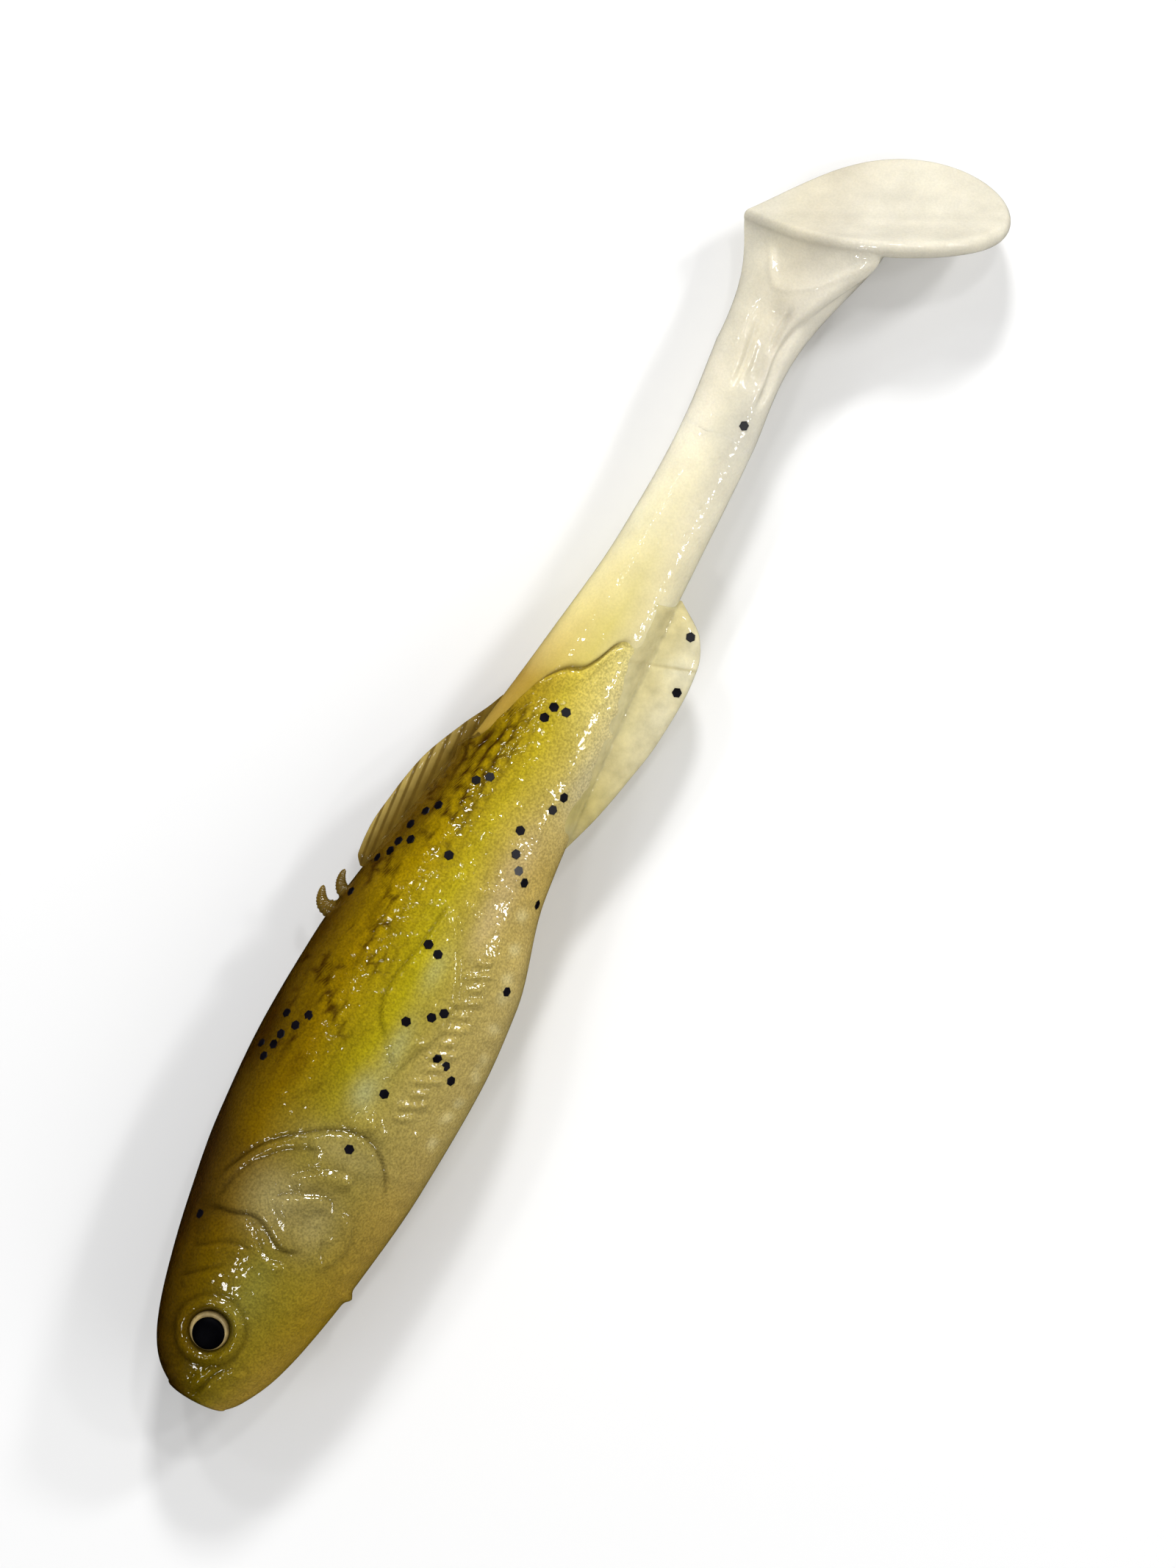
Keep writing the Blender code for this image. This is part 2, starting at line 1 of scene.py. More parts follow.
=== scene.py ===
"""Looks of the soft swimbait: its moulded skin, fins, eyes, glitter, materials, light and camera.

Shapes are worked out in the lure's own millimetres, as in the CAD: x from the nose to the tail,
y from the belly to the back, z out of the left flank. place() turns them into world metres.
"""

import json
import math

import bmesh
import bpy
import numpy as np
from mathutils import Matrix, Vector, kdtree


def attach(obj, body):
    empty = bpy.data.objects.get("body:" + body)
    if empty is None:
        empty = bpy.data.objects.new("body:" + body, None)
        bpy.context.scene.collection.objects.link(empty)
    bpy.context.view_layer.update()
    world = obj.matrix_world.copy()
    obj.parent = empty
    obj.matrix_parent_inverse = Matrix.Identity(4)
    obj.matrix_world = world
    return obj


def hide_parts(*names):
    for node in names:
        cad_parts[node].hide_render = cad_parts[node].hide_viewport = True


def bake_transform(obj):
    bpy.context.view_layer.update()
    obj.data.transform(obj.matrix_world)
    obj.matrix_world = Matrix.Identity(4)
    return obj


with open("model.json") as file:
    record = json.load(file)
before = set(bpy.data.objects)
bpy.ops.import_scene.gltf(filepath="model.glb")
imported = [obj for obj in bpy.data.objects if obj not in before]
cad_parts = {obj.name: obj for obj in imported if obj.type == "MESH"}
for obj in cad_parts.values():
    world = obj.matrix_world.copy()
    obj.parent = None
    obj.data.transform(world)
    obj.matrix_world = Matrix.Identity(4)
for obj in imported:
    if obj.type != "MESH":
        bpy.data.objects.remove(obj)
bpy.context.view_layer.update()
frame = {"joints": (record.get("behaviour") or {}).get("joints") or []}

MM = 0.001
TAU = 2 * math.pi

# Places along the body, in millimetres from the nose, and stretches from one body to the next
# that are handed to bend(), which only fixes each piece where it stands.
BODY_FLEX_X = 45.0
ANKLE_X = 98.0
LENGTH = 120.0
BODY_BEND = ((39, 0, 0), (51, 0, 0))
STEM_BEND = ((74, 0, 0), (85, 0, 0))
PADDLE_BEND = ((93, 0, 0), (103.5, 0, 0))
DORSAL_BEND = ((54.6, 6.2, 0), (54.9, 7.6, 0))
ANAL_BEND = ((66.2, -5.2, 0), (66.0, -7.2, 0))

# The body's outline, width and squareness along x, as in the CAD: each point is (x, value).
BACK_LINE = ((0, 0.7), (0.6, 2.3), (2.4, 4.3), (5, 5.6), (10, 7.0), (15, 8.0), (22, 9.0), (30, 9.4),
             (39, 9.0), (46, 8.0), (54, 6.4), (61, 4.9), (70, 3.5), (80, 2.25), (88, 1.95), (98, 2.7),
             (104, 4.0))
BELLY_LINE = ((0, -1.7), (0.6, -3.0), (2.4, -4.4), (5, -5.6), (10, -6.9), (15, -7.8), (24, -8.9),
              (34, -9.3), (41, -8.8), (50, -6.6), (57, -5.9), (70, -5.0), (80, -4.7), (90, -4.4),
              (98, -3.8), (104, -4.3))
FLANK_LINE = ((0, 1.4), (0.6, 2.4), (2.4, 3.8), (6, 5.3), (12, 6.5), (20, 7.15), (32, 7.4),
              (42, 6.9), (54, 5.4), (66, 4.1), (78, 3.2), (90, 2.75), (98, 2.7), (104, 2.8))
SECTION_POWER = 2.2
NOSE_ROUND = 0.6
REST_DEPTH = 7.15
# The relief on the upper flank flattens off between these heights, so that the lure stays in its box.
RELIEF_TOP = 7.38
RELIEF_ROOM = 0.4
DROOP = 1.15
DROOP_START = 52.0
DROOP_END = 94.0

# Where the back pour ends: a step that runs down the flank from the back, as (y, x).
POUR_STEP = ((-9.5, 72.6), (-2.6, 72.6), (-1.9, 72.0), (-1.1, 70.2), (-0.4, 69.1), (0.7, 68.5),
             (1.8, 67.2), (2.7, 65.1), (3.4, 62.7), (4.0, 60.8), (5.4, 59.4), (9.5, 58.8))
TAIL_SEAM_X = 91.0
# How far one skin runs under the next: at the pour's step, and on both sides of the tail's seam.
STEP_OVERLAP = 1.0
TAIL_OVERLAP = 0.35
ANKLE_OVERLAP = 0.4

# Mesh spacing along and around the skin, and the rows of its round nose.
CELL = 0.22
NOSE_ROWS = 14
AROUND = 248
RING_ANGLES = TAU * np.arange(AROUND) / AROUND


def pose_origin():
    """The lure's own zero point in the world, from the body hinge."""
    hinge = next(joint for joint in frame["joints"] if joint["name"] == "body_flex")
    return Vector(hinge["pos_m"]) - Vector((BODY_FLEX_X * MM, 0, 0))


ORIGIN = pose_origin()


def place(point):
    return ORIGIN + Vector(point) * MM


def smooth_curve(points):
    """A vectorised function that runs smoothly through (x, value) points without overshooting."""
    xs = np.array([point[0] for point in points], float)
    ys = np.array([point[1] for point in points], float)
    steps = np.diff(xs)
    slopes = np.diff(ys) / steps
    tangents = np.zeros(len(xs))
    same_way = slopes[:-1] * slopes[1:] > 0
    weight_a = 2 * steps[1:] + steps[:-1]
    weight_b = steps[1:] + 2 * steps[:-1]
    safe_a = np.where(same_way, slopes[:-1], 1)
    safe_b = np.where(same_way, slopes[1:], 1)
    mean = (weight_a + weight_b) / (weight_a / safe_a + weight_b / safe_b)
    tangents[1:-1] = np.where(same_way, mean, 0)
    tangents[0] = slopes[0]
    tangents[-1] = slopes[-1]

    def value(x):
        x = np.clip(x, xs[0], xs[-1])
        i = np.clip(np.searchsorted(xs, x, side="right") - 1, 0, len(steps) - 1)
        t = (x - xs[i]) / steps[i]
        start = (1 + 2 * t) * (1 - t) ** 2 * ys[i] + t * (1 - t) ** 2 * steps[i] * tangents[i]
        end = t * t * (3 - 2 * t) * ys[i + 1] + t * t * (t - 1) * steps[i] * tangents[i + 1]
        return start + end

    return value


back_law = smooth_curve(BACK_LINE)
belly_law = smooth_curve(BELLY_LINE)
flank_law = smooth_curve(FLANK_LINE)
step_law = smooth_curve(POUR_STEP)


def ease(low, high, value):
    """0 below low, 1 above high, and smooth between them."""
    t = np.clip((value - low) / (high - low), 0, 1)
    return t * t * (3 - 2 * t)


def hump(value, width):
    return np.exp(-((value / width) ** 2))


def centre_z(x):
    return -DROOP * ease(DROOP_START, DROOP_END, x)


def nose_scale(x):
    """Closes the body at the very nose with a round tip."""
    return np.sqrt(np.clip(1 - (1 - np.clip(x / NOSE_ROUND, 0, 1)) ** 2, 0, 1))


def profile_at(x):
    """The middle of the plain body's height, and half that height."""
    back = back_law(x)
    belly = belly_law(x)
    return (back + belly) / 2, (back - belly) / 2


def height_share(x, y):
    """0 at the belly and 1 at the back."""
    return (y - belly_law(x)) / (back_law(x) - belly_law(x))


def body_point(x, angle):
    """Points of the plain body: angle 0 is the back and a quarter turn the left flank."""
    held = np.maximum(x, NOSE_ROUND)
    middle, height = profile_at(held)
    height = height * nose_scale(x)
    width = flank_law(held) * nose_scale(x)
    up = np.cos(angle)
    out = np.sin(angle)
    tiny = 1e-6
    reach = (np.abs(up / (height + tiny)) ** SECTION_POWER
             + np.abs(out / (width + tiny)) ** SECTION_POWER) ** (-1 / SECTION_POWER)
    return np.stack([x + 0 * angle, middle + reach * up, centre_z(x) + reach * out], -1)


def lattice(ix, iy, seed):
    value = np.sin(ix * 127.1 + iy * 311.7 + seed * 74.7) * 43758.5453
    return value - np.floor(value)


def noise(x, y, size, seed):
    """Smooth random waves between -1 and 1, about size millimetres across."""
    x = x / size
    y = y / size
    ix = np.floor(x)
    iy = np.floor(y)
    fx = x - ix
    fy = y - iy
    fx = fx * fx * (3 - 2 * fx)
    fy = fy * fy * (3 - 2 * fy)
    low = lattice(ix, iy, seed) * (1 - fx) + lattice(ix + 1, iy, seed) * fx
    high = lattice(ix, iy + 1, seed) * (1 - fx) + lattice(ix + 1, iy + 1, seed) * fx
    return 2 * (low * (1 - fy) + high * fy) - 1


def rounded_path(points, count=8):
    """A smooth path through the points, as a denser list."""
    nodes = [np.array(point, float) for point in points]
    nodes = [2 * nodes[0] - nodes[1]] + nodes + [2 * nodes[-1] - nodes[-2]]
    path = []
    for i in range(1, len(nodes) - 2):
        before, start, end, after = nodes[i - 1:i + 3]
        for step in range(count):
            t = step / count
            path.append(0.5 * (2 * start + (end - before) * t
                               + (2 * before - 5 * start + 4 * end - after) * t**2
                               + (3 * start - before - 3 * end + after) * t**3))
    path.append(nodes[-2])
    return np.array(path)


def from_path(x, y, points):
    """For each (x, y): its signed distance from the path, left side positive, and how far along it is."""
    path = rounded_path(points)
    best = np.full(x.shape, 1e9)
    side = np.zeros(x.shape)
    along = np.zeros(x.shape)
    run = 0.0
    for start, end in zip(path[:-1], path[1:]):
        step = end - start
        length = math.hypot(*step)
        dx = x - start[0]
        dy = y - start[1]
        t = np.clip((dx * step[0] + dy * step[1]) / length**2, 0, 1)
        gap = np.hypot(dx - t * step[0], dy - t * step[1])
        nearer = gap < best
        best = np.where(nearer, gap, best)
        side = np.where(nearer, np.sign(step[0] * dy - step[1] * dx), side)
        along = np.where(nearer, run + t * length, along)
        run += length
    return best * side, along / run


def ends(along, first=0.12, last=0.12):
    """1 in the middle of a path and 0 at both of its ends."""
    return ease(0, first, along) * ease(0, last, 1 - along)


# Lines of the head and flank, each as (x, y) points.
GILL_EDGE = ((16.6, 6.55), (18.6, 6.1), (20.8, 5.05), (22.6, 3.6), (24.3, 1.6), (25.6, -0.6),
             (26.0, -2.6), (25.2, -4.4), (23.6, -5.8), (21.3, -6.8))
GILL_REAR = ((24.0, 2.0), (25.3, -0.2), (26.0, -1.8), (26.1, -3.0), (25.2, -4.4), (23.6, -5.8))
GILL_INNER = ((15.4, 5.75), (17.1, 5.55), (19.3, 4.85), (20.8, 3.8), (22.0, 2.7), (23.0, 1.0),
              (23.6, -0.8))
HEAD_TOP = ((6.8, 4.9), (8.6, 5.55), (11.4, 5.95), (13.9, 6.75), (16.6, 6.55))
CHEEK_FRONT = ((14.4, 6.6), (15.1, 5.6), (15.4, 4.2), (15.9, 2.8), (15.9, 1.8), (15.4, 0.9),
               (14.9, 0.1), (14.6, -0.9), (14.8, -1.9), (15.6, -2.8))
SUB_PLATE = ((15.5, 2.9), (15.1, 1.9), (14.3, 1.1), (13.7, 0.2), (13.5, -0.8), (13.9, -1.9))
BROW_LINE = ((11.3, 6.0), (12.2, 4.7), (13.0, 3.5), (13.4, 2.0), (13.3, 1.0))
EYE_CREASE = ((8.6, 5.7), (9.5, 4.7), (10.6, 3.4), (11.3, 2.4))
CHEEK_BOSS = ((18.0, 1.9), (19.0, 0.8), (19.7, -0.5), (20.2, -1.6), (20.0, -2.7), (19.0, -3.3))
UPPER_BOSS = ((20.3, 1.5), (21.4, 0.3), (22.1, -0.9), (22.7, -2.1), (22.6, -3.2), (21.8, -4.0))
JAW_LOBE = ((19.9, -3.6), (19.4, -4.9), (18.1, -5.6), (16.6, -5.6), (15.3, -5.0), (14.4, -4.3))
JAW_PLATE = ((17.2, -3.4), (16.1, -3.7), (15.4, -4.2), (14.9, -5.0))
MOUTH_LINE = ((-0.2, 0.1), (1.3, -0.5), (2.6, -0.9), (3.9, -1.7))
SHOULDER = ((26.4, -0.6), (27.5, -1.4), (27.9, -2.6), (27.2, -3.6))
FIN_UPPER = ((34.0, -0.4), (35.2, 0.75), (36.6, 1.35), (38.7, 1.5), (41.9, 0.85), (44.7, 0.5),
             (46.3, 0.3))
FIN_LOWER = ((31.0, -2.2), (33.4, -3.0), (36.0, -4.2), (38.6, -4.3), (41.0, -3.6), (43.4, -2.4),
             (45.4, -1.2), (46.4, 0.2))
FIN_RIDGE = ((30.9, -2.0), (32.4, -2.35), (34.0, -2.5), (35.6, -3.1))

# How each line is moulded: its path, the height that its headward side stands up by, the width of
# that ramp and how far it reaches, the depth and width of its groove, and how dark its groove is:
# partly pigment settled in it, partly painted shade.
MOULDED_LINES = (
    (GILL_EDGE, 0.06, 0.7, 3.0, 0.22, 0.2, 0.75),
    (GILL_REAR, 0.34, 0.9, 4.0, 0.0, 0.2, 0.0),
    (GILL_INNER, -0.16, 0.6, 1.2, 0.18, 0.2, 0.45),
    (HEAD_TOP, -0.24, 0.5, 1.8, -0.1, 0.2, 0.1),
    (CHEEK_FRONT, -0.32, 0.6, 1.8, 0.26, 0.2, 0.7),
    (SUB_PLATE, 0.3, 0.7, 1.2, 0.14, 0.22, 0.35),
    (BROW_LINE, 0.14, 0.6, 1.4, 0.18, 0.2, 0.45),
    (EYE_CREASE, 0.12, 0.6, 1.0, 0.16, 0.2, 0.45),
    (CHEEK_BOSS, 0.58, 1.1, 1.8, 0.14, 0.3, 0.45),
    (UPPER_BOSS, 0.5, 1.3, 1.7, 0.1, 0.3, 0.2),
    (JAW_LOBE, 0.36, 0.8, 1.0, 0.1, 0.25, 0.1),
    (JAW_PLATE, 0.24, 0.7, 0.8, 0.12, 0.22, 0.2),
    (MOUTH_LINE, 0.0, 0.5, 1.0, 0.3, 0.25, 0.5),
    (SHOULDER, 0.6, 1.2, 1.4, 0.0, 0.3, 0.0),
    (FIN_RIDGE, 0.0, 0.5, 1.0, -0.26, 0.32, 0.0),
)
EYE_AT = (6.0, 1.2)


def line_relief(x, y):
    """Height over the plain body of the head's and shoulder's moulded lines, and the darkening of their
    grooves: partly pigment, partly painted shade.
    """
    relief = np.zeros(x.shape)
    pigment_and_shade = np.zeros(x.shape)
    for path, step, ramp, reach, depth, width, dark in MOULDED_LINES:
        gap, along = from_path(x, y, path)
        fade = ends(along, 0.14, 0.16)
        relief += step * ease(-0.3, ramp - 0.3, -gap) * hump(gap, reach) * fade
        relief -= depth * hump(gap - 0.12, width) * fade
        # Darker in the groove: partly pigment, partly painted shade.
        pigment_and_shade = np.maximum(pigment_and_shade, dark * hump(gap - 0.1, 0.18) * fade)
    return relief, pigment_and_shade


def eye_relief(x, y):
    """The raised socket ring and the seat of the eye."""
    away = np.hypot(x - EYE_AT[0], y - EYE_AT[1])
    ring = 0.36 * hump(away - 2.3, 0.48) - 0.14 * hump(away - 3.05, 0.3)
    # Darker in the socket's outer groove and round the eye's seat: partly pigment, partly painted shade.
    pigment_and_shade = 0.5 * hump(away - 3.05, 0.22) + 0.6 * hump(away - 1.7, 0.3)
    return ring - 0.75 * ease(2.05, 1.6, away), pigment_and_shade


def pectoral_relief(x, y):
    """The folded pectoral fin, a low leaf on the flank."""
    upper, along_upper = from_path(x, y, FIN_UPPER)
    lower, along_lower = from_path(x, y, FIN_LOWER)
    inside = ease(0, 0.35, -upper) * ease(0, 0.5, lower) * ease(30.4, 32.2, x) * ease(46.8, 45.5, x)
    relief = 0.24 * inside + 0.12 * inside * hump(y + 1.6, 0.7)
    line_fade = ends(along_upper, 0.08, 0.06)
    relief -= 0.14 * hump(upper, 0.17) * line_fade
    relief -= 0.08 * hump(lower + 0.15, 0.25) * ends(along_lower, 0.2, 0.1)
    # The line along the fin's upper edge is darkened: partly pigment, partly painted shade.
    return relief, 0.42 * hump(upper, 0.16) * line_fade


RIB_FIRST = 29.0
RIB_PITCH = 1.2
RIB_COUNT = 13
RIB_SLANT = math.radians(62)


def rib_relief(x, y):
    """The short slanting ribs low on the belly, every second one longer."""
    relief = np.zeros(x.shape)
    for i in range(RIB_COUNT):
        centre_x = RIB_FIRST + RIB_PITCH * i
        centre_y = -4.7 - 0.35 * math.sin(i * 0.3)
        half = 1.35 if i % 2 else 0.75
        dx = x - centre_x
        dy = y - centre_y
        run = dx * math.cos(RIB_SLANT) - dy * math.sin(RIB_SLANT)
        off = dx * math.sin(RIB_SLANT) + dy * math.cos(RIB_SLANT)
        relief += 0.25 * ease(-0.5, 0.0, off) * ease(0.36, 0.0, off) * ease(half, half * 0.75, np.abs(run))
    return relief


SCALE_LENGTH = 1.35
SCALE_HEIGHT = 0.88


def scale_relief(x, y):
    """Rows of small overlapping scales on the upper flank, and the brown net between them."""
    warp_x = x + 0.5 * noise(x, y, 3.1, 5) + 0.35 * noise(x, y, 1.2, 9)
    warp_y = y + 0.04 * (x - 30) + 0.4 * noise(x, y, 3.2, 6) + 0.22 * noise(x, y, 1.0, 10)
    row = np.floor(warp_y / SCALE_HEIGHT)
    cell = warp_x / SCALE_LENGTH + 0.5 * np.mod(row, 2)
    across = warp_y / SCALE_HEIGHT - row - 0.5
    along = cell - np.floor(cell)
    edge = 0.8 - 1.1 * across**2
    shingle = np.where(along < edge, along / edge, (1 - along) / (1 - edge) * 0.3)
    height = height_share(x, y)
    area = ease(0.35, 0.6, height) * ease(22, 27, x) * ease(70, 62, x)
    relief = 0.11 * (shingle - 0.5) * area * (0.7 + 0.5 * noise(x, y, 4.0, 7))
    arcs = hump((along - edge) * SCALE_LENGTH, 0.2)
    rows = hump((0.5 - np.abs(across)) * SCALE_HEIGHT, 0.17)
    broken = ease(-0.3, 0.6, noise(x, y, 2.3, 22) + 0.8 * noise(x, y, 0.8, 23))
    dark = ease(0.5, 0.78, height) * ease(24, 30, x) * ease(70, 60, x)
    faint = 0.2 * ease(0.42, 0.6, height) * ease(24, 30, x) * ease(70, 62, x)
    net = np.maximum(arcs, rows) * (1.15 * dark * broken + faint * (1 - broken))
    streak = 0.4 * dark * ease(0.1, 0.7, noise(0.28 * x, 1.5 * y, 1.0, 24))
    return relief, np.clip(np.maximum(net * 0.9, streak), 0, 1)


def belly_relief(x, y):
    """Small soft bumps along the keel of the belly."""
    keel = belly_law(x) + 0.9
    band = hump(y - keel, 0.6) * ease(12, 15, x) * ease(50, 46, x)
    return 0.12 * band * (0.5 + 0.5 * np.sin(TAU * x / 1.9 + 1.3 * noise(x, y, 4, 8)))


def wave_relief(x, y):
    """The slight unevenness of cast soft plastic."""
    return 0.045 * noise(x, y, 5.5, 1) + 0.03 * noise(x, y, 2.2, 2) + 0.016 * noise(x, y, 0.9, 3)


SPECK_COUNT = 420
# Larger soft bumps, each as (x, y, radius, height).
GLINT_BUMPS = ((27.3, -2.1, 1.0, 0.46), (26.8, -3.5, 0.6, 0.26), (29.4, 0.9, 0.5, 0.14),
               (30.2, 1.2, 0.4, 0.12), (49.0, -2.9, 0.7, 0.14), (50.6, -3.7, 0.5, 0.12),
               (52.2, -2.6, 0.6, 0.12), (40.4, 0.2, 0.6, 0.14), (41.5, -0.3, 0.5, 0.12))
# How far from its middle a speck is worked out.
SPECK_REACH = 2.4


def snout_relief(x, y):
    """Fine wrinkles and pits of the snout."""
    rough = 0.1 * noise(x, y, 0.9, 42) - 0.13 * ease(0.2, 0.7, noise(x, y, 0.55, 43))
    return rough * ease(7.5, 4.0, x) * ease(0.3, 0.9, x)


def speck_relief(x, y):
    """Small specks and blisters left by the mould, mostly on the snout and cheek."""
    draw = np.random.default_rng(12)
    relief = np.zeros(x.shape)
    specks = list(GLINT_BUMPS)
    for _ in range(SPECK_COUNT):
        at_x = 1.2 + 67 * draw.random() ** 1.6
        at_y = draw.uniform(-7, 7)
        specks.append((at_x, at_y, draw.uniform(0.2, 0.42), draw.uniform(0.05, 0.13)))
    for at_x, at_y, size, height in specks:
        near = (np.abs(x - at_x) < SPECK_REACH) & (np.abs(y - at_y) < SPECK_REACH)
        away = np.hypot(x[near] - at_x, y[near] - at_y)
        relief[near] += height * hump(away, size)
    return relief


def skin_relief(x, y):
    lines, line_pigment_and_shade = line_relief(x, y)
    eye, eye_pigment_and_shade = eye_relief(x, y)
    fin, fin_pigment_and_shade = pectoral_relief(x, y)
    scales, net = scale_relief(x, y)
    relief = (lines + eye + fin + rib_relief(x, y) + scales + belly_relief(x, y) + wave_relief(x, y)
              + snout_relief(x, y) + speck_relief(x, y))
    pigment_and_shade = np.maximum(np.maximum(line_pigment_and_shade, eye_pigment_and_shade), fin_pigment_and_shade)
    return relief, pigment_and_shade, net


# Colours of the two pours, chosen at places along x: belly, low flank, middle, high
# flank and back.
# The darkening towards the head and the brightening towards the tail are partly painted shade and light, not
# only the plastic's own colour.
BODY_PAINT = (
    (0, ("9c8032", "84701c", "605000", "4c3800", "2e1c00")),
    (10, ("967a1c", "84721a", "725e02", "644c00", "362000")),
    (20, ("a0863c", "84742f", "7e6e2b", "664c00", "342006")),
    (30, ("ae9a58", "9e8e4a", "988a0e", "826600", "3a2400")),
    (42, ("b8a362", "a08f44", "a89a12", "947800", "523802")),
    (52, ("baa054", "a6904a", "ac9a1c", "9a8000", "624804")),
    (62, ("d0c084", "b8a64c", "b29e22", "9c8204", "70560a")),
    (72, ("ddd1a0", "d7c87a", "d4c054", "cfb23c", "ac8a20")),
)
TAIL_PAINT = (
    (58, ("c8bc84", "c4b468", "b49a3c", "a0822a", "b09038")),
    (66, ("d6cb94", "d0c276", "c9b34d", "b09434", "bc9a44")),
    (73, ("dad1a8", "d5c891", "d0c274", "dccb82", "ecdc96")),
    (82, ("e2dabc", "dcd2ae", "e0d6aa", "e8dfb4", "f2eac6")),
    (92, ("e4decc", "dbd4c0", "e4ddc4", "eee6ce", "f4edd6")),
    (102, ("d9d3c2", "d2cbb9", "d1c9b3", "d0c9b4", "d6d0bc")),
    (122, ("d3cdba", "ccc5b1", "ccc4af", "ccc4ad", "d1cbba")),
)
PAINT_HEIGHTS = (0.04, 0.28, 0.52, 0.78, 0.97)
# Pale cream spots along the belly's edge.
KEEL_SPOTS = (28.2, 30.6, 32.1, 34.7, 36.2, 38.9, 41.6, 43.1, 45.4, 48.2)
# Soft patches, each as (x, y, length, height, strength): pearl cheeks, an olive patch behind the eye,
# a painted green sheen, a painted pinkish sheen low on the rear flank, and painted grey shade at the
# anal fin's root and in and before the ankle's groove.
PATCHES = (
    ("9f925e", ((18.2, 1.4, 2.6, 2.6, 0.75), (17.8, -2.4, 2.6, 1.8, 0.6), (24.2, -1.6, 1.6, 3.4, 0.5))),
    ("86863c", ((9.6, -0.4, 2.6, 2.0, 0.4), (12.4, -0.2, 2.0, 1.6, 0.3))),
    ("a6ac84", ((29.4, -0.9, 1.6, 1.1, 0.45), (34.0, -1.5, 2.4, 0.8, 0.35), (41.0, -1.3, 2.0, 0.8, 0.3))),
    ("c9b489", ((47.0, -3.4, 3.6, 1.1, 0.4), (52.5, -3.2, 3.0, 1.2, 0.35))),
    ("a9a89a", ((60.2, -4.9, 3.2, 1.2, 0.3), (93.0, -2.4, 3.4, 1.6, 0.35), (89.0, -3.0, 4.0, 1.2, 0.25))),
)


def linear(colour):
    """Linear light of an sRGB colour given as six hex digits."""
    parts = np.array([int(colour[i:i + 2], 16) / 255 for i in (0, 2, 4)])
    return np.where(parts <= 0.04045, parts / 12.92, ((parts + 0.055) / 1.055) ** 2.4)


def paint_at(paint, x, height):
    """The colour of a paint table at x and at a share of the body's height, in linear light."""
    stations = np.array([station for station, _ in paint], float)
    shades = np.array([[linear(colour) for colour in row] for _, row in paint])
    stops = np.array(PAINT_HEIGHTS)
    i = np.clip(np.searchsorted(stations, x, side="right") - 1, 0, len(stations) - 2)
    j = np.clip(np.searchsorted(stops, height, side="right") - 1, 0, len(stops) - 2)
    t = np.clip((x - stations[i]) / (stations[i + 1] - stations[i]), 0, 1)[..., None]
    s = np.clip((height - stops[j]) / (stops[j + 1] - stops[j]), 0, 1)[..., None]
    low = shades[i, j] * (1 - t) + shades[i + 1, j] * t
    high = shades[i, j + 1] * (1 - t) + shades[i + 1, j + 1] * t
    return low * (1 - s) + high * s


def towards(tint, colour, share):
    return tint * (1 - share[..., None]) + linear(colour) * share[..., None]


def skin_tint(x, y, paint, pigment_and_shade, net):
    """The base colour over the flank, in linear light."""
    height = np.clip(height_share(x, y) + 0.03 * noise(x, y, 5, 13), 0, 1)
    at = x + 1.2 * noise(x, y, 7, 11) + 0.5 * noise(x, y, 2.5, 12)
    tint = paint_at(paint, at, height)
    for spot_x in KEEL_SPOTS:
        spot_y = belly_law(np.array(spot_x)) + 1.25 + 0.3 * math.sin(5 * spot_x)
        away = np.hypot((x - spot_x) * 0.8, y - spot_y) + 0.2 * noise(x, y, 0.5, 14)
        tint = towards(tint, "d4c68c", 0.55 * hump(away, 0.4))
    for colour, patches in PATCHES:
        for patch_x, patch_y, long, tall, share in patches:
            away = np.hypot((x - patch_x) / long, (y - patch_y) / tall)
            tint = towards(tint, colour, share * hump(away, 1.0))
    tint = towards(tint, "3a2200", net)
    # Darkened along the grooves and the pour's step: partly pigment, partly painted shade.
    return tint * (1 - pigment_and_shade[..., None] * np.array((0.72, 0.76, 0.85)))


def grid_faces(rows, columns):
    """Quads between neighbouring rows of points, closed round each row."""
    row, column = np.meshgrid(np.arange(rows - 1), np.arange(columns), indexing="ij")
    nxt = (column + 1) % columns
    quads = np.stack([row * columns + column, row * columns + nxt,
                      (row + 1) * columns + nxt, (row + 1) * columns + column], -1)
    return quads.reshape(-1, 4)


def grid_normals(points):
    """Outward normals of a grid of points that is closed along its second direction."""
    along = np.gradient(points, axis=0)
    around = (np.roll(points, -1, 1) - np.roll(points, 1, 1)) / 2
    normals = np.cross(around, along)
    length = np.linalg.norm(normals, axis=-1, keepdims=True)
    return normals / np.maximum(length, 1e-9)


def add_attribute(mesh, name, kind, values):
    width = {"FLOAT": "value", "FLOAT_VECTOR": "vector", "FLOAT_COLOR": "color"}[kind]
    mesh.attributes.new(name, kind, "POINT").data.foreach_set(width, values.astype(np.float32).ravel())


def piece_from(name, points, faces, material, tint=None, groove=None):
    """A visible piece from points in the lure's millimetres, which it also keeps as its rest attribute."""
    mesh = bpy.data.meshes.new(name)
    world = points * MM + np.array(ORIGIN)
    mesh.from_pydata(world.tolist(), [], [tuple(face) for face in faces])
    mesh.validate()
    add_attribute(mesh, "rest", "FLOAT_VECTOR", points)
    if tint is not None:
        add_attribute(mesh, "tint", "FLOAT_COLOR", np.concatenate([tint, np.ones((len(tint), 1))], 1))
    if groove is not None:
        add_attribute(mesh, "groove", "FLOAT", groove)
    shell = bmesh.new()
    shell.from_mesh(mesh)
    bmesh.ops.recalc_face_normals(shell, faces=shell.faces)
    shell.to_mesh(mesh)
    shell.free()
    mesh.shade_smooth()
    mesh.materials.append(material)
    obj = bpy.data.objects.new(name, mesh)
    bpy.context.scene.collection.objects.link(obj)
    return obj


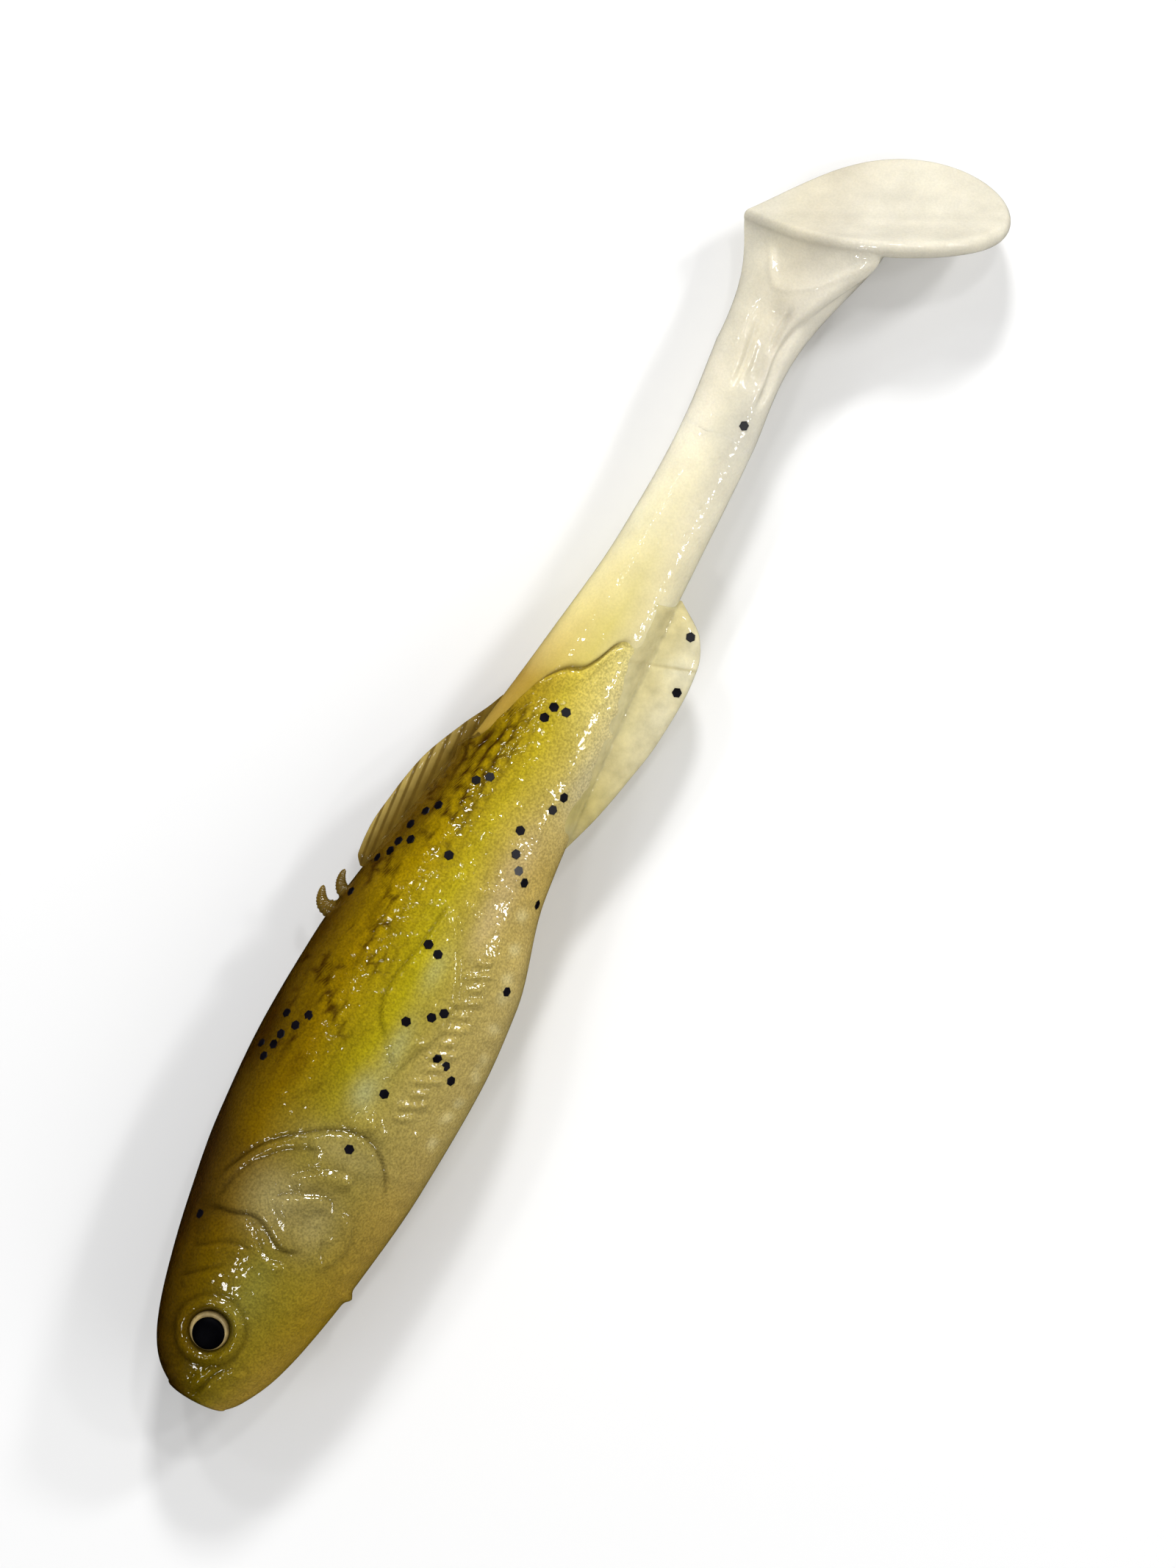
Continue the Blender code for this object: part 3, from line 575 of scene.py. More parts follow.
def capped(points):
    """Flat points and faces of a grid, closed with a fan at both ends."""
    rows, columns = points.shape[:2]
    faces = [tuple(face) for face in grid_faces(rows, columns)]
    flat = points.reshape(-1, 3)
    for end, row in enumerate((0, rows - 1)):
        start = row * columns
        faces += [(start + i, start + (i + 1) % columns, len(flat) + end) for i in range(columns)]
    return np.concatenate([flat, np.array([points[0].mean(0), points[-1].mean(0)])]), faces


def skin_piece(name, rows_x, relief, paint, material):
    """A length of skin: rows_x gives x for each row and column."""
    plain = body_point(rows_x, np.broadcast_to(RING_ANGLES, rows_x.shape))
    normals = grid_normals(plain)
    x = plain[..., 0]
    y = plain[..., 1]
    facing = ease(0.05, 0.5, np.abs(normals[..., 2]))
    lifted, pigment_and_shade, net = relief(x, y, facing)
    points = plain + normals * lifted[..., None]
    points[..., 2] = np.maximum(points[..., 2], -REST_DEPTH)
    over = np.maximum(points[..., 2] - RELIEF_TOP, 0)
    points[..., 2] += RELIEF_ROOM * np.tanh(over / RELIEF_ROOM) - over
    tint = skin_tint(x, y, paint, pigment_and_shade, net)
    flat, faces = capped(points)
    tint = np.concatenate([tint.reshape(-1, 3), tint[:1].mean(1), tint[-1:].mean(1)])
    return piece_from(name, flat, faces, material, tint)


STEP_ROUNDS = 12


def step_x(angle):
    """Where the back pour ends at each angle round the body, closed in on round by round."""
    x = np.full(angle.shape, 66.0)
    for _ in range(STEP_ROUNDS):
        x = 0.5 * x + 0.5 * step_law(body_point(x, angle)[..., 1])
    return x


def rows_between(first, last):
    """x for each row and column of a skin between two edges."""
    count = int((np.max(last) - np.min(first)) / CELL)
    return first + np.linspace(0, 1, count)[:, None] * (last - first)


def above_belly(y):
    """Where the back pour's step stands up: 1 on the flank and 0 low on the belly."""
    return ease(-3.4, -1.4, y)


def body_skin(material):
    """The front and rear body, from the nose to the step where the back pour ends."""
    last = step_x(RING_ANGLES)
    nose = NOSE_ROUND * (1 - np.cos(np.linspace(0, math.pi / 2, NOSE_ROWS)[:-1]))
    rows = np.concatenate([np.broadcast_to(nose[:, None], (len(nose), AROUND)),
                           rows_between(NOSE_ROUND, last)])
    before_end = last - rows

    def relief(x, y, facing):
        raised = above_belly(y)
        lip = 0.38 * raised * ease(3.0, 1.2, before_end)
        edge = ease(0.85, 0.0, before_end) * (0.06 + 0.6 * raised)
        shared, pigment_and_shade, net = skin_relief(x, y)
        facing = facing * ease(0.2, 1.2, x)
        nub = 0.4 * np.exp(-((x - 13.6) / 0.4) ** 2 - ((y - belly_law(x)) / 0.7) ** 2)
        pigment_and_shade = np.maximum(pigment_and_shade * facing, 0.9 * raised * ease(0.95, 0.55, before_end))
        return shared * facing + lip - edge + nub, pigment_and_shade, net * ease(0.0, 0.3, facing)

    return skin_piece("body_skin", rows, relief, BODY_PAINT, material)


def tail_skin(material):
    """The tail pour: from under the back pour's step to the seam before the ankle."""
    first = step_x(RING_ANGLES) - STEP_OVERLAP
    end = TAIL_SEAM_X + TAIL_OVERLAP
    rows = rows_between(first, end)
    after_start = rows - first
    before_end = end - rows

    def relief(x, y, facing):
        raised = above_belly(y)
        sunk = 0.06 * ease(0.7, 0.1, after_start) + 0.05 * ease(TAIL_OVERLAP, 0.0, before_end)
        under = 0.3 * ease(0.9, 0.3, after_start) * raised
        pits = -0.06 * ease(0.72, 0.95, noise(x, y, 0.55, 41)) * ease(74, 78, x)
        # A dark band just behind the back pour's step: partly the joint's own dark line, partly painted shade
        # under its lip.
        pigment_and_shade = 0.75 * raised * hump(after_start - 0.6, 0.45)
        return (wave_relief(x, y) + pits) * facing * 0.8 - sunk - under, pigment_and_shade, np.zeros(x.shape)

    return skin_piece("tail_skin", rows, relief, TAIL_PAINT, material)


# The paddle, much as in the CAD: its heel lies a little further back, and its outline is fuller there.
HEEL = (108.55, 5.85)
PADDLE_SKEW = math.radians(27)
PADDLE_KICK = math.radians(37)
PADDLE_LENGTH = 22.2
PADDLE_HALF_WIDTH = 6.5
PADDLE_WIDEST = 0.6
PADDLE_THICKNESS = 1.7
PADDLE_DISH = 1.2
FOOT_SHARE = 0.56
# Rows and columns of the paddle's mesh, and how strongly the flare pulls away from stem and plate.
PADDLE_AROUND = 232
FLARE_ROWS = 76
RIM_ROWS = 17
SOLE_ROWS = 46
STEM_PULL = 5.5
PLATE_PULL = 3.4
RIM_PULL = 2.2
ALONG = np.array((math.sin(PADDLE_SKEW), -math.cos(PADDLE_SKEW), 0))
LEVEL = np.array((math.cos(PADDLE_SKEW), math.sin(PADDLE_SKEW), 0))
OUT = LEVEL * math.cos(PADDLE_KICK) + np.array((0, 0, math.sin(PADDLE_KICK)))
ACROSS = np.array((0, 0, math.cos(PADDLE_KICK))) - LEVEL * math.sin(PADDLE_KICK)


def paddle_half(share):
    """Half width of the teardrop at a share of its length: a point at the heel, round at the toe."""
    t = np.clip(share / PADDLE_WIDEST, 0, 1)
    heel_side = (t * (2 - t)) ** 1.1
    u = np.clip((share - PADDLE_WIDEST) / (1 - PADDLE_WIDEST), 0, 1)
    return PADDLE_HALF_WIDTH * np.where(share < PADDLE_WIDEST, heel_side, np.sqrt(1 - u * u))


def paddle_point(share, width, depth):
    """A point of the paddle: depth is measured from the sole towards the ankle."""
    heel = np.array((*HEEL, centre_z(LENGTH)))
    dish = PADDLE_DISH * (width / PADDLE_HALF_WIDTH) ** 2
    return (heel + ALONG * (share * PADDLE_LENGTH)[..., None] + ACROSS * width[..., None]
            + OUT * (dish - depth)[..., None])


# The ankle's groove and pocket on each flank, as (x, y) points.
CHANNEL = ((95.0, -1.6), (97.0, -1.4), (99.8, -0.9), (102.3, -0.3), (104.2, 0.1))
CHANNEL_LINES = (((93.8, -3.0), (96.4, -2.95), (99.4, -2.6), (103.0, -2.9)),
                 ((94.6, -0.35), (97.0, -0.2), (99.6, 0.3), (102.6, 0.9)),
                 ((98.6, -2.0), (101.0, -1.6), (103.4, -1.6)))
POCKET_EDGE = ((109.0, 3.6), (106.9, 2.3), (104.9, 1.2), (104.1, 0.3), (104.5, -0.9), (105.6, -2.5),
               (107.4, -4.1), (109.1, -5.5), (110.4, -7.2))


def ankle_relief(x, y):
    """The groove between the ankle's two ridges and the pocket that it opens into."""
    gap, along = from_path(x, y, CHANNEL)
    width = 0.75 + 0.7 * along
    groove = -0.85 * hump(gap, width) * ease(0, 0.2, along) * ease(1.0, 0.7, along)
    for path in CHANNEL_LINES:
        gap, along = from_path(x, y, path)
        groove -= 0.42 * hump(gap, 0.3) * ends(along, 0.2, 0.4)
    pocket, along = from_path(x, y, POCKET_EDGE)
    inside = ease(0.0, 0.6, pocket) * ease(103.5, 105, x)
    lip = 0.09 * hump(pocket + 0.12, 0.25) * ends(along, 0.1, 0.05)
    return groove * (1 - inside) - 0.2 * inside * ease(3.2, 0.8, pocket) + lip


def rim_ring(share, side, turn):
    """A ring round the paddle's rounded edge: turn 0 is the ankle's side and half a turn the sole."""
    inset = PADDLE_THICKNESS / 2 * (1 - np.sin(turn) ** 0.8)
    depth = PADDLE_THICKNESS / 2 * (1 + np.cos(turn))
    near_share = 0.5 + (share - 0.5) * (1 - 2 * inset / PADDLE_LENGTH)
    near_width = side * paddle_half(share) * (1 - inset / PADDLE_HALF_WIDTH)
    return paddle_point(near_share, near_width, depth + np.zeros(share.shape))


JOINED_PART = 0.6
JOINED_SHARE = 0.47
FOOT_TURN = 0.4 * math.pi


def edge_share(part):
    """How far along the paddle's edge each column lies: it runs along the joined part, then round the toe."""
    joined = JOINED_SHARE * np.clip(part / JOINED_PART, 0, 1) ** 1.5
    side = (PADDLE_WIDEST - JOINED_SHARE) * np.clip((part - JOINED_PART) / 0.1, 0, 1)
    toe = (1 - PADDLE_WIDEST) * np.sin(np.clip((part - JOINED_PART - 0.1) / 0.3, 0, 1) * math.pi / 2)
    return 0.004 + 0.996 * (joined + side + toe)


def paddle_skin(material):
    """The ankle and the paddle in one skin: rings run along the stem, flare and wrap the plate."""
    columns = PADDLE_AROUND
    angles = TAU * (np.arange(columns) + 0.5) / columns
    start_x = TAIL_SEAM_X - ANKLE_OVERLAP
    rings = [body_point(np.full(columns, x), angles) for x in np.arange(start_x, ANKLE_X, CELL)]
    section = body_point(np.full(columns, ANKLE_X), angles)
    part = 1 - np.abs(1 - angles / math.pi)
    side = np.where(angles < math.pi, 1.0, -1.0)
    share = edge_share(part)
    free = ease(JOINED_PART, JOINED_PART + 0.12, part)
    under = rim_ring(share, side, FOOT_TURN * (1 - free))
    cut = np.clip((part - JOINED_PART) / (1 - JOINED_PART), 0, 1)
    cut_share = JOINED_SHARE + (FOOT_SHARE - JOINED_SHARE) * ease(0, 1, cut)
    cut_width = side * paddle_half(cut_share) * (1 - cut) ** 0.8
    across_plate = paddle_point(cut_share, cut_width, np.full(columns, PADDLE_THICKNESS))
    foot = under * (1 - free[:, None]) + across_plate * free[:, None]
    leave = section + np.array((STEM_PULL, 0, 0))
    arrive = foot - OUT * (PLATE_PULL - (PLATE_PULL - RIM_PULL) * (1 - free))[:, None]
    turn_off = 1 - 0.3 * free
    for step in np.linspace(0, 1, FLARE_ROWS)[:-1]:
        t = np.minimum(step / turn_off, 1)[:, None]
        slide = np.where(free > 0, np.clip((step - turn_off) / np.maximum(1 - turn_off, 1e-6), 0, 1), 0)
        flare = (section * (1 - t) ** 3 + leave * 3 * t * (1 - t) ** 2
                 + arrive * 3 * t * t * (1 - t) + foot * t**3)
        rings.append(flare + (under - foot) * slide[:, None])
    flare_rows = len(rings)
    for step in np.linspace(0, 1, RIM_ROWS):
        start = FOOT_TURN * (1 - free)
        rings.append(rim_ring(share, side, start + (math.pi - start) * step))
    inner = 1 - PADDLE_THICKNESS / PADDLE_HALF_WIDTH / 2
    for scale in np.linspace(inner, 0.02, SOLE_ROWS)[1:]:
        near_share = PADDLE_WIDEST + (share - PADDLE_WIDEST) * scale
        rings.append(paddle_point(near_share, side * paddle_half(share) * scale, np.zeros(columns)))
    points = np.array(rings)
    normals = grid_normals(points)
    x = points[..., 0]
    y = points[..., 1]
    row = np.arange(len(rings))[:, None]
    facing = ease(0.1, 0.5, np.abs(normals[..., 2]))
    on_flare = ease(flare_rows - 2, flare_rows - 34, row)
    lifted = ankle_relief(x, y) * facing * on_flare
    sunk = 0.05 * ease(ANKLE_OVERLAP, 0.05, x - start_x) * (row < 10)
    waves = 0.04 * noise(x, y + 2 * points[..., 2], 4.0, 31)
    points = points + normals * (lifted - sunk + waves)[..., None]
    flat, faces = capped(points)
    none = np.zeros(len(flat))
    tint = skin_tint(flat[:, 0], flat[:, 1], TAIL_PAINT, none, none)
    from_heel = flat - np.array((*HEEL, centre_z(LENGTH)))
    streaks = noise(0.14 * (from_heel @ ALONG), 1.1 * (from_heel @ ACROSS), 1.0, 61)
    tint = tint * (1 + 0.045 * streaks * ease(104, 107, flat[:, 0]))[:, None]
    return piece_from("paddle_skin", flat, faces, material, tint)


# The fins' spans along x and their free edges.
DORSAL_SPAN = (45.6, 63.6)
ANAL_SPAN = (54.8, 77.4)
DORSAL_EDGE = smooth_curve(((45.6, 8.3), (46.4, 8.9), (48.9, 9.1), (52.0, 8.75), (55.6, 8.05),
                            (59.9, 6.3), (62.4, 5.0), (63.6, 4.5)))
ANAL_EDGE = smooth_curve(((54.8, -6.1), (58.4, -7.2), (62.0, -8.0), (66.0, -8.7), (70.5, -8.95),
                          (73.0, -8.75), (75.4, -7.7), (77.4, -5.0)))


def body_half_at(x, y):
    """Half thickness of the plain body at a height y, and nothing beyond its back and belly."""
    middle, height = profile_at(x)
    up = np.clip(np.abs(y - middle) / height, 0, 1)
    return flank_law(x) * (1 - up**SECTION_POWER) ** (1 / SECTION_POWER)


FIN_CELL = 0.12
FIN_COLUMNS = 40


def fin_piece(name, span, edge, root, thickness, fillet, ridges, material, tint):
    """A moulded blade: rows run along its span, and columns go up one side and down the other.

    thickness is (at the root, at the edge), and fillet rounds the blade into the body.
    """
    first, last = span
    thick, thin = thickness
    rows = int((last - first) / FIN_CELL)
    xs = np.linspace(first, last, rows)
    up = np.concatenate([np.linspace(0, 1, FIN_COLUMNS), np.linspace(1, 0, FIN_COLUMNS)])
    side = np.concatenate([np.ones(FIN_COLUMNS), -np.ones(FIN_COLUMNS)])
    x = np.broadcast_to(xs[:, None], (rows, len(up)))
    low = root(x)
    high = edge(x)
    y = low + (high - low) * np.sin(up * math.pi / 2)[None, :]
    share = np.abs((y - low) / np.where(np.abs(high - low) < 1e-6, 1e-6, high - low))
    round_off = np.sqrt(np.clip(1 - share**6, 0, 1))
    slim = ease(0, 1.2, x - first) * ease(0, 1.2, last - x)
    blade = (thick + (thin - thick) * share) / 2 + ridges(x, y)
    under = body_half_at(x, y) - 0.05 - 0.17 * fillet
    half = (blade + under + np.sqrt((blade - under) ** 2 + fillet**2)) / 2
    half = half * round_off * (0.25 + 0.75 * slim)
    z = centre_z(x) + side[None, :] * np.maximum(half, 0.01)
    points = np.stack([x, y, z], -1)
    flat, faces = capped(points)
    x, y = flat[:, 0], flat[:, 1]
    return piece_from(name, flat, faces, material, tint(x, y), ridges(x, y))


def dorsal_root(x):
    return back_law(x) - 1.2


def anal_root(x):
    return belly_law(x) + 2.0


RAY_SLOPE = math.radians(17)
RAY_START = 44.0
RAY_SPREAD = 0.09


def ray_relief(x, y):
    """Swept-back fin rays, ever further apart towards the tail, with narrow grooves between them."""
    base = np.maximum(x - (y - back_law(x)) / math.tan(RAY_SLOPE), RAY_START - 9)
    phase = np.log(1 + RAY_SPREAD * (base - RAY_START + 9)) / RAY_SPREAD
    phase = phase - np.floor(phase)
    return 0.11 * (0.5 - ease(0.32, 0.08, np.minimum(phase, 1 - phase)))


def anal_seam(x, y):
    """A fine line across the anal fin."""
    return hump(x - 72.2 + 0.35 * (y + 7.0), 0.12)


def anal_relief(x, y):
    bumps = 0.2 * hump(np.hypot((x - 58.2) / 1.2, (y + 4.9) / 0.6), 1.0)
    bumps += 0.14 * hump(np.hypot((x - 59.8) / 1.0, (y + 5.5) / 0.4), 1.0)
    return 0.03 * noise(x, y, 2.0, 51) - 0.05 * anal_seam(x, y) + bumps


def dorsal_tint(x, y):
    return towards(linear("6b551c"), "ae9854", ease(0.2, 2.2, y - back_law(x)))


def anal_tint(x, y):
    far = ease(57, 66, x)
    deep = ease(0.5, 3.0, belly_law(x) - y)[..., None]
    near_body = towards(linear("b3a566"), "cbc191", far)
    edge = towards(linear("cbc088"), "d9d2b2", far)
    seam = (0.22 * anal_seam(x, y))[..., None]
    return (near_body * (1 - deep) + edge * deep) * (1 - seam)


# The two hooked spines: piece, CAD node, and course as (x, y, radius) points.
SPINES = (("spine_front", "dorsal_spine_front",
           ((41.3, 8.2, 0.95), (41.3, 9.2, 0.68), (41.6, 9.7, 0.52), (42.1, 10.0, 0.36),
            (42.6, 10.15, 0.2))),
          ("spine_rear", "dorsal_spine_rear",
           ((43.1, 7.9, 0.85), (43.2, 8.6, 0.6), (43.6, 9.0, 0.45), (44.1, 9.2, 0.32),
            (44.6, 9.25, 0.18))))


SPINE_STEPS = 10
SPINE_SIDES = 24


def spine_piece(name, course, material):
    """A hooked barb swept along its course, with a round section that tapers to the tip."""
    path = rounded_path([(x, y) for x, y, _ in course], SPINE_STEPS)
    radii = rounded_path([(i, radius) for i, (_, _, radius) in enumerate(course)], SPINE_STEPS)[:, 1]
    rings = []
    for i, (x, y) in enumerate(path):
        ahead = path[min(i + 1, len(path) - 1)] - path[max(i - 1, 0)]
        ahead = ahead / np.hypot(*ahead)
        across = np.array((-ahead[1], ahead[0]))
        angle = TAU * np.arange(SPINE_SIDES) / SPINE_SIDES
        wobble = radii[i] * (1 + 0.08 * math.sin(i * 1.9))
        offset = wobble * np.cos(angle)
        rings.append(np.stack([x + across[0] * offset, y + across[1] * offset,
                               0.8 * wobble * np.sin(angle)], -1))
    tip = rings[-1].mean(0)
    for scale in (0.75, 0.4, 0.1):
        shift = np.array((*(ahead * radii[-1] * (1 - scale)), 0))
        rings.append(tip + (rings[len(path) - 1] - tip) * scale + shift)
    flat, faces = capped(np.array(rings))
    tint = dorsal_tint(flat[:, 0], flat[:, 1] - 1.0)
    return piece_from(name, flat, faces, material, tint, np.zeros(len(flat)))


def disc_rings(profile, sides, turn_by=0.0):
    """Rings of a turned shape: profile holds (radius, height) points from the base to the crown."""
    angle = TAU * np.arange(sides) / sides + turn_by
    return np.array([np.stack([radius * np.cos(angle), radius * np.sin(angle), np.full(sides, height)], -1)
                     for radius, height in profile])


def turned(points, spot, facing, mirror=False):
    """Rings about +Z, set on a spot with their axis along facing, or mirrored to the right flank."""
    turn = np.array(Vector(facing).to_track_quat("Z", "Y").to_matrix())
    moved = points @ turn.T + np.array(spot)
    if mirror:
        moved = moved * np.array((1, 1, -1))
    return moved


# The eye: (radius, height) points of the iris, and the pupil's size and its place on the iris.
IRIS_PROFILE = ((1.62, -0.5), (1.66, -0.1), (1.61, 0.08), (1.5, 0.16), (1.36, 0.16), (1.2, 0.1),
                (0.4, 0.05))
PUPIL_RADIUS = 1.36
PUPIL_RISE = 0.42
PUPIL_SHIFT = (-0.23, -0.04, 0)
EYE_SINK = 0.42
EYE_FACING = Vector((-0.16, 0.05, 1)).normalized()
EYE_SIDES = 96
EYE_SEARCH = 400


def pupil_profile():
    """A dome on a short collar."""
    steps = np.linspace(0, math.pi / 2, 16)[:-1]
    dome = [(PUPIL_RADIUS * math.cos(t) ** 0.8, 0.12 + PUPIL_RISE * math.sin(t)) for t in steps]
    return [(PUPIL_RADIUS, -0.2)] + dome


def eye_part(name, profile, spot, mirror, material):
    flat, faces = capped(turned(disc_rings(profile, EYE_SIDES), spot, EYE_FACING, mirror))
    return piece_from(name, flat, faces, material)


def eye_pieces(side, iris_material, pupil_material):
    """The eye in its socket: a low gold ring round a black dome."""
    mirror = side == "right"
    rise = body_point(np.array([EYE_AT[0]]), np.array([eye_angle()]))[0]
    spot = rise + np.array((0, 0, -EYE_SINK))
    iris = eye_part(f"{side}_iris", IRIS_PROFILE, spot, mirror, iris_material)
    pupil = eye_part(f"{side}_pupil", pupil_profile(), spot + np.array(PUPIL_SHIFT), mirror, pupil_material)
    for piece, node in ((iris, "iris"), (pupil, "pupil")):
        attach(piece, "front")
        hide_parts(f"{side}_eye_{node}")


def eye_angle():
    """The angle round the body at which the eye's centre lies."""
    angles = np.linspace(0.6, 2.2, EYE_SEARCH)
    heights = body_point(np.full(EYE_SEARCH, EYE_AT[0]), angles)[:, 1]
    return float(angles[np.argmin(np.abs(heights - EYE_AT[1]))])


# Black hexagonal glitter, as (x, y) on the left flank where the CAD has it.
FRONT_FLAKES = ((14.0, 6.4), (24.6, -1.9), (28.0, 7.9), (28.9, 8.5), (29.3, 7.6), (30.3, 7.5),
                (31.6, 6.8), (32.2, 7.9), (32.8, 6.2), (30.1, -2.4), (33.4, -6.7), (34.3, -5.8),
                (34.7, -4.8), (36.1, -1.1), (37.4, -2.8), (38.2, -3.7), (42.3, -0.9), (42.6, 0.1),
                (42.2, -7.4), (43.4, 7.9))
REAR_FLAKES = ((46.8, 7.3), (47.9, 6.6), (48.9, 6.4), (49.6, 5.6), (50.6, 6.2), (52.1, 5.6),
               (53.1, 4.9), (49.9, 2.1), (49.6, -6.2), (50.7, -4.4), (51.3, -3.5), (52.5, -2.7),
               (54.3, -2.1), (56.3, 3.1), (57.1, 2.3), (57.2, -3.7), (58.5, -4.0), (63.5, 0.5),
               (64.6, 0.2), (64.8, -0.8))
FIN_FLAKES = ((70.5, -8.1), (75.1, -7.0))
STEM_FLAKES = ((92.5, -2.7),)
# More on the right flank, as (x, y, side).
FAR_FIN_FLAKES = [(66.5, -7.4, -1)]
FAR_STEM_FLAKES = [(95.5, -1.5, -1)]
# A thin hexagon with softened edges, nearly flush with the skin.
FLAKE_RADIUS = 0.44
FLAKE_PROFILE = ((FLAKE_RADIUS, -0.08), (FLAKE_RADIUS, 0.02), (FLAKE_RADIUS * 0.93, 0.045))
# Keeps the flanks apart in the search for a flake's place, and leaves out the steep skin between them.
FLANKS_APART = 40
STEEPEST = 0.12


def vectors_of(source, key, count):
    """A mesh's vectors as an array of rows."""
    values = np.empty(count * 3, np.float32)
    source.foreach_get(key, values)
    return values.reshape(-1, 3)


def glitter_piece(name, skin, places, material, seed):
    """Hexagons set on a skin at (x, y, side) places, following its surface."""
    mesh = skin.data
    tree = kdtree.KDTree(len(mesh.vertices))
    rest = vectors_of(mesh.attributes["rest"].data, "vector", len(mesh.vertices))
    facing = vectors_of(mesh.vertex_normals, "vector", len(mesh.vertices))
    for i, point in enumerate(rest):
        if abs(facing[i][2]) > STEEPEST:
            tree.insert((point[0], point[1], FLANKS_APART * np.sign(facing[i][2])), i)
    tree.balance()
    draw = np.random.default_rng(seed)
    points = []
    faces = []
    for x, y, side in places:
        index = tree.find((x, y, FLANKS_APART * side))[1]
        hexagon = disc_rings(FLAKE_PROFILE, 6, draw.uniform(0, 1))
        shape, shape_faces = capped(turned(hexagon, rest[index], facing[index]))
        base = len(points)
        points += list(shape)
        faces += [tuple(base + i for i in face) for face in shape_faces]
    made = piece_from(name, np.array(points), faces, material)
    made.data.shade_flat()
    return made


def node_material(name):
    """A new material, with its node tree and its shader."""
    made = bpy.data.materials.new(name)
    made.use_nodes = True
    return made, made.node_tree, made.node_tree.nodes["Principled BSDF"]


def set_inputs(node, values):
    for key, value in values.items():
        node.inputs[key].default_value = value


def attribute(tree, name, output):
    """A value that the mesh keeps at each of its points."""
    node = tree.nodes.new("ShaderNodeAttribute")
    node.attribute_name = name
    return node.outputs[output]


def noise_node(tree, scale, detail, roughness=0.5):
    """A noise over the rest position, so that its pattern stays on the piece as it bends."""
    texture = tree.nodes.new("ShaderNodeTexNoise")
    set_inputs(texture, {"Scale": scale, "Detail": detail, "Roughness": roughness})
    tree.links.new(attribute(tree, "rest", "Vector"), texture.inputs["Vector"])
    return texture.outputs["Fac"]


def range_node(tree, value, low, high, to_low, to_high):
    node = tree.nodes.new("ShaderNodeMapRange")
    set_inputs(node, {"From Min": low, "From Max": high, "To Min": to_low, "To Max": to_high})
    tree.links.new(value, node.inputs["Value"])
    return node.outputs["Result"]


def mix_node(tree, blend, factor, first, second):
    """Mixes two colours, each given as a number, a colour or another node's output."""
    node = tree.nodes.new("ShaderNodeMix")
    node.data_type = "RGBA"
    node.blend_type = blend
    # A colour mix uses inputs 0, 6 and 7 and output 2: the others are for numbers and vectors.
    for socket, value in ((node.inputs[0], factor), (node.inputs[6], first), (node.inputs[7], second)):
        if isinstance(value, (int, float)):
            socket.default_value = value
        elif isinstance(value, np.ndarray):
            socket.default_value = (*value, 1)
        else:
            tree.links.new(value, socket)
    return node.outputs[2]


def mottled(tree, colour, scale, detail, low, high, roughness=0.5, span=(0.3, 0.7)):
    """A colour that a noise darkens to low and lightens to high times itself."""
    shade = range_node(tree, noise_node(tree, scale, detail, roughness), *span, low, high)
    return mix_node(tree, "MULTIPLY", 1.0, colour, shade)


def bump_node(tree, height, strength, distance):
    node = tree.nodes.new("ShaderNodeBump")
    set_inputs(node, {"Strength": strength, "Distance": distance})
    tree.links.new(height, node.inputs["Height"])
    return node.outputs["Normal"]


# How deep light glows through the plastic, in metres.
PLASTIC_DEPTH = 0.0006


def soft_plastic(shader, weight, roughness, coat):
    """Constant settings of cast soft plastic with an oily surface."""
    set_inputs(shader, {"Roughness": roughness, "Subsurface Weight": weight,
                        "Subsurface Scale": PLASTIC_DEPTH, "Subsurface Radius": (1.0, 0.8, 0.45),
                        "Specular IOR Level": 0.03, "Coat Weight": coat, "Coat Roughness": 0.05,
                        "Coat IOR": 1.47})


def skin_material(name, coat, grain_depth, bump_strength):
    """Cast soft plastic with broad clouds, a fine pearl grain and gentle dents in its oily coat."""
    made, tree, shader = node_material(name)
    soft_plastic(shader, 0.2, 0.36, coat)
    colour = mottled(tree, attribute(tree, "tint", "Color"), 0.3, 4, 0.92, 1.08, 0.55)
    colour = mottled(tree, colour, 5.2, 1, 1 - grain_depth, 1 + grain_depth, span=(0.32, 0.68))
    tree.links.new(colour, shader.inputs["Base Color"])
    rough = range_node(tree, noise_node(tree, 1.2, 3), 0.3, 0.7, 0.28, 0.44)
    tree.links.new(rough, shader.inputs["Roughness"])
    fine = noise_node(tree, 3.5, 3, 0.6)
    tree.links.new(bump_node(tree, fine, bump_strength, 0.0001), shader.inputs["Normal"])
    dents = noise_node(tree, 1.7, 1)
    tree.links.new(bump_node(tree, dents, 0.6, 0.0001), shader.inputs["Coat Normal"])
    return made


def fin_material(name, groove_colour):
    """The same plastic with a darker colour in the grooves: partly pigment settled there, partly painted
    shade.
    """
    made, tree, shader = node_material(name)
    soft_plastic(shader, 0.25, 0.34, 0.75)
    valley = range_node(tree, attribute(tree, "groove", "Fac"), -0.05, 0.03, 0.8, 0.0)
    colour = mix_node(tree, "MIX", valley, attribute(tree, "tint", "Color"), groove_colour)
    colour = mottled(tree, colour, 0.8, 4, 0.85, 1.15, 0.6)
    tree.links.new(colour, shader.inputs["Base Color"])
    fine = noise_node(tree, 5.0, 3, 0.6)
    tree.links.new(bump_node(tree, fine, 0.4, 0.00008), shader.inputs["Normal"])
    return made


def mottled_material(name, colour, mottle, settings, span=(0.3, 0.7)):
    """A hard mottled surface: mottle is the noise's scale and detail, and how dark and light it goes."""
    made, tree, shader = node_material(name)
    tree.links.new(mottled(tree, linear(colour), *mottle, span=span), shader.inputs["Base Color"])
    set_inputs(shader, settings)
    return made


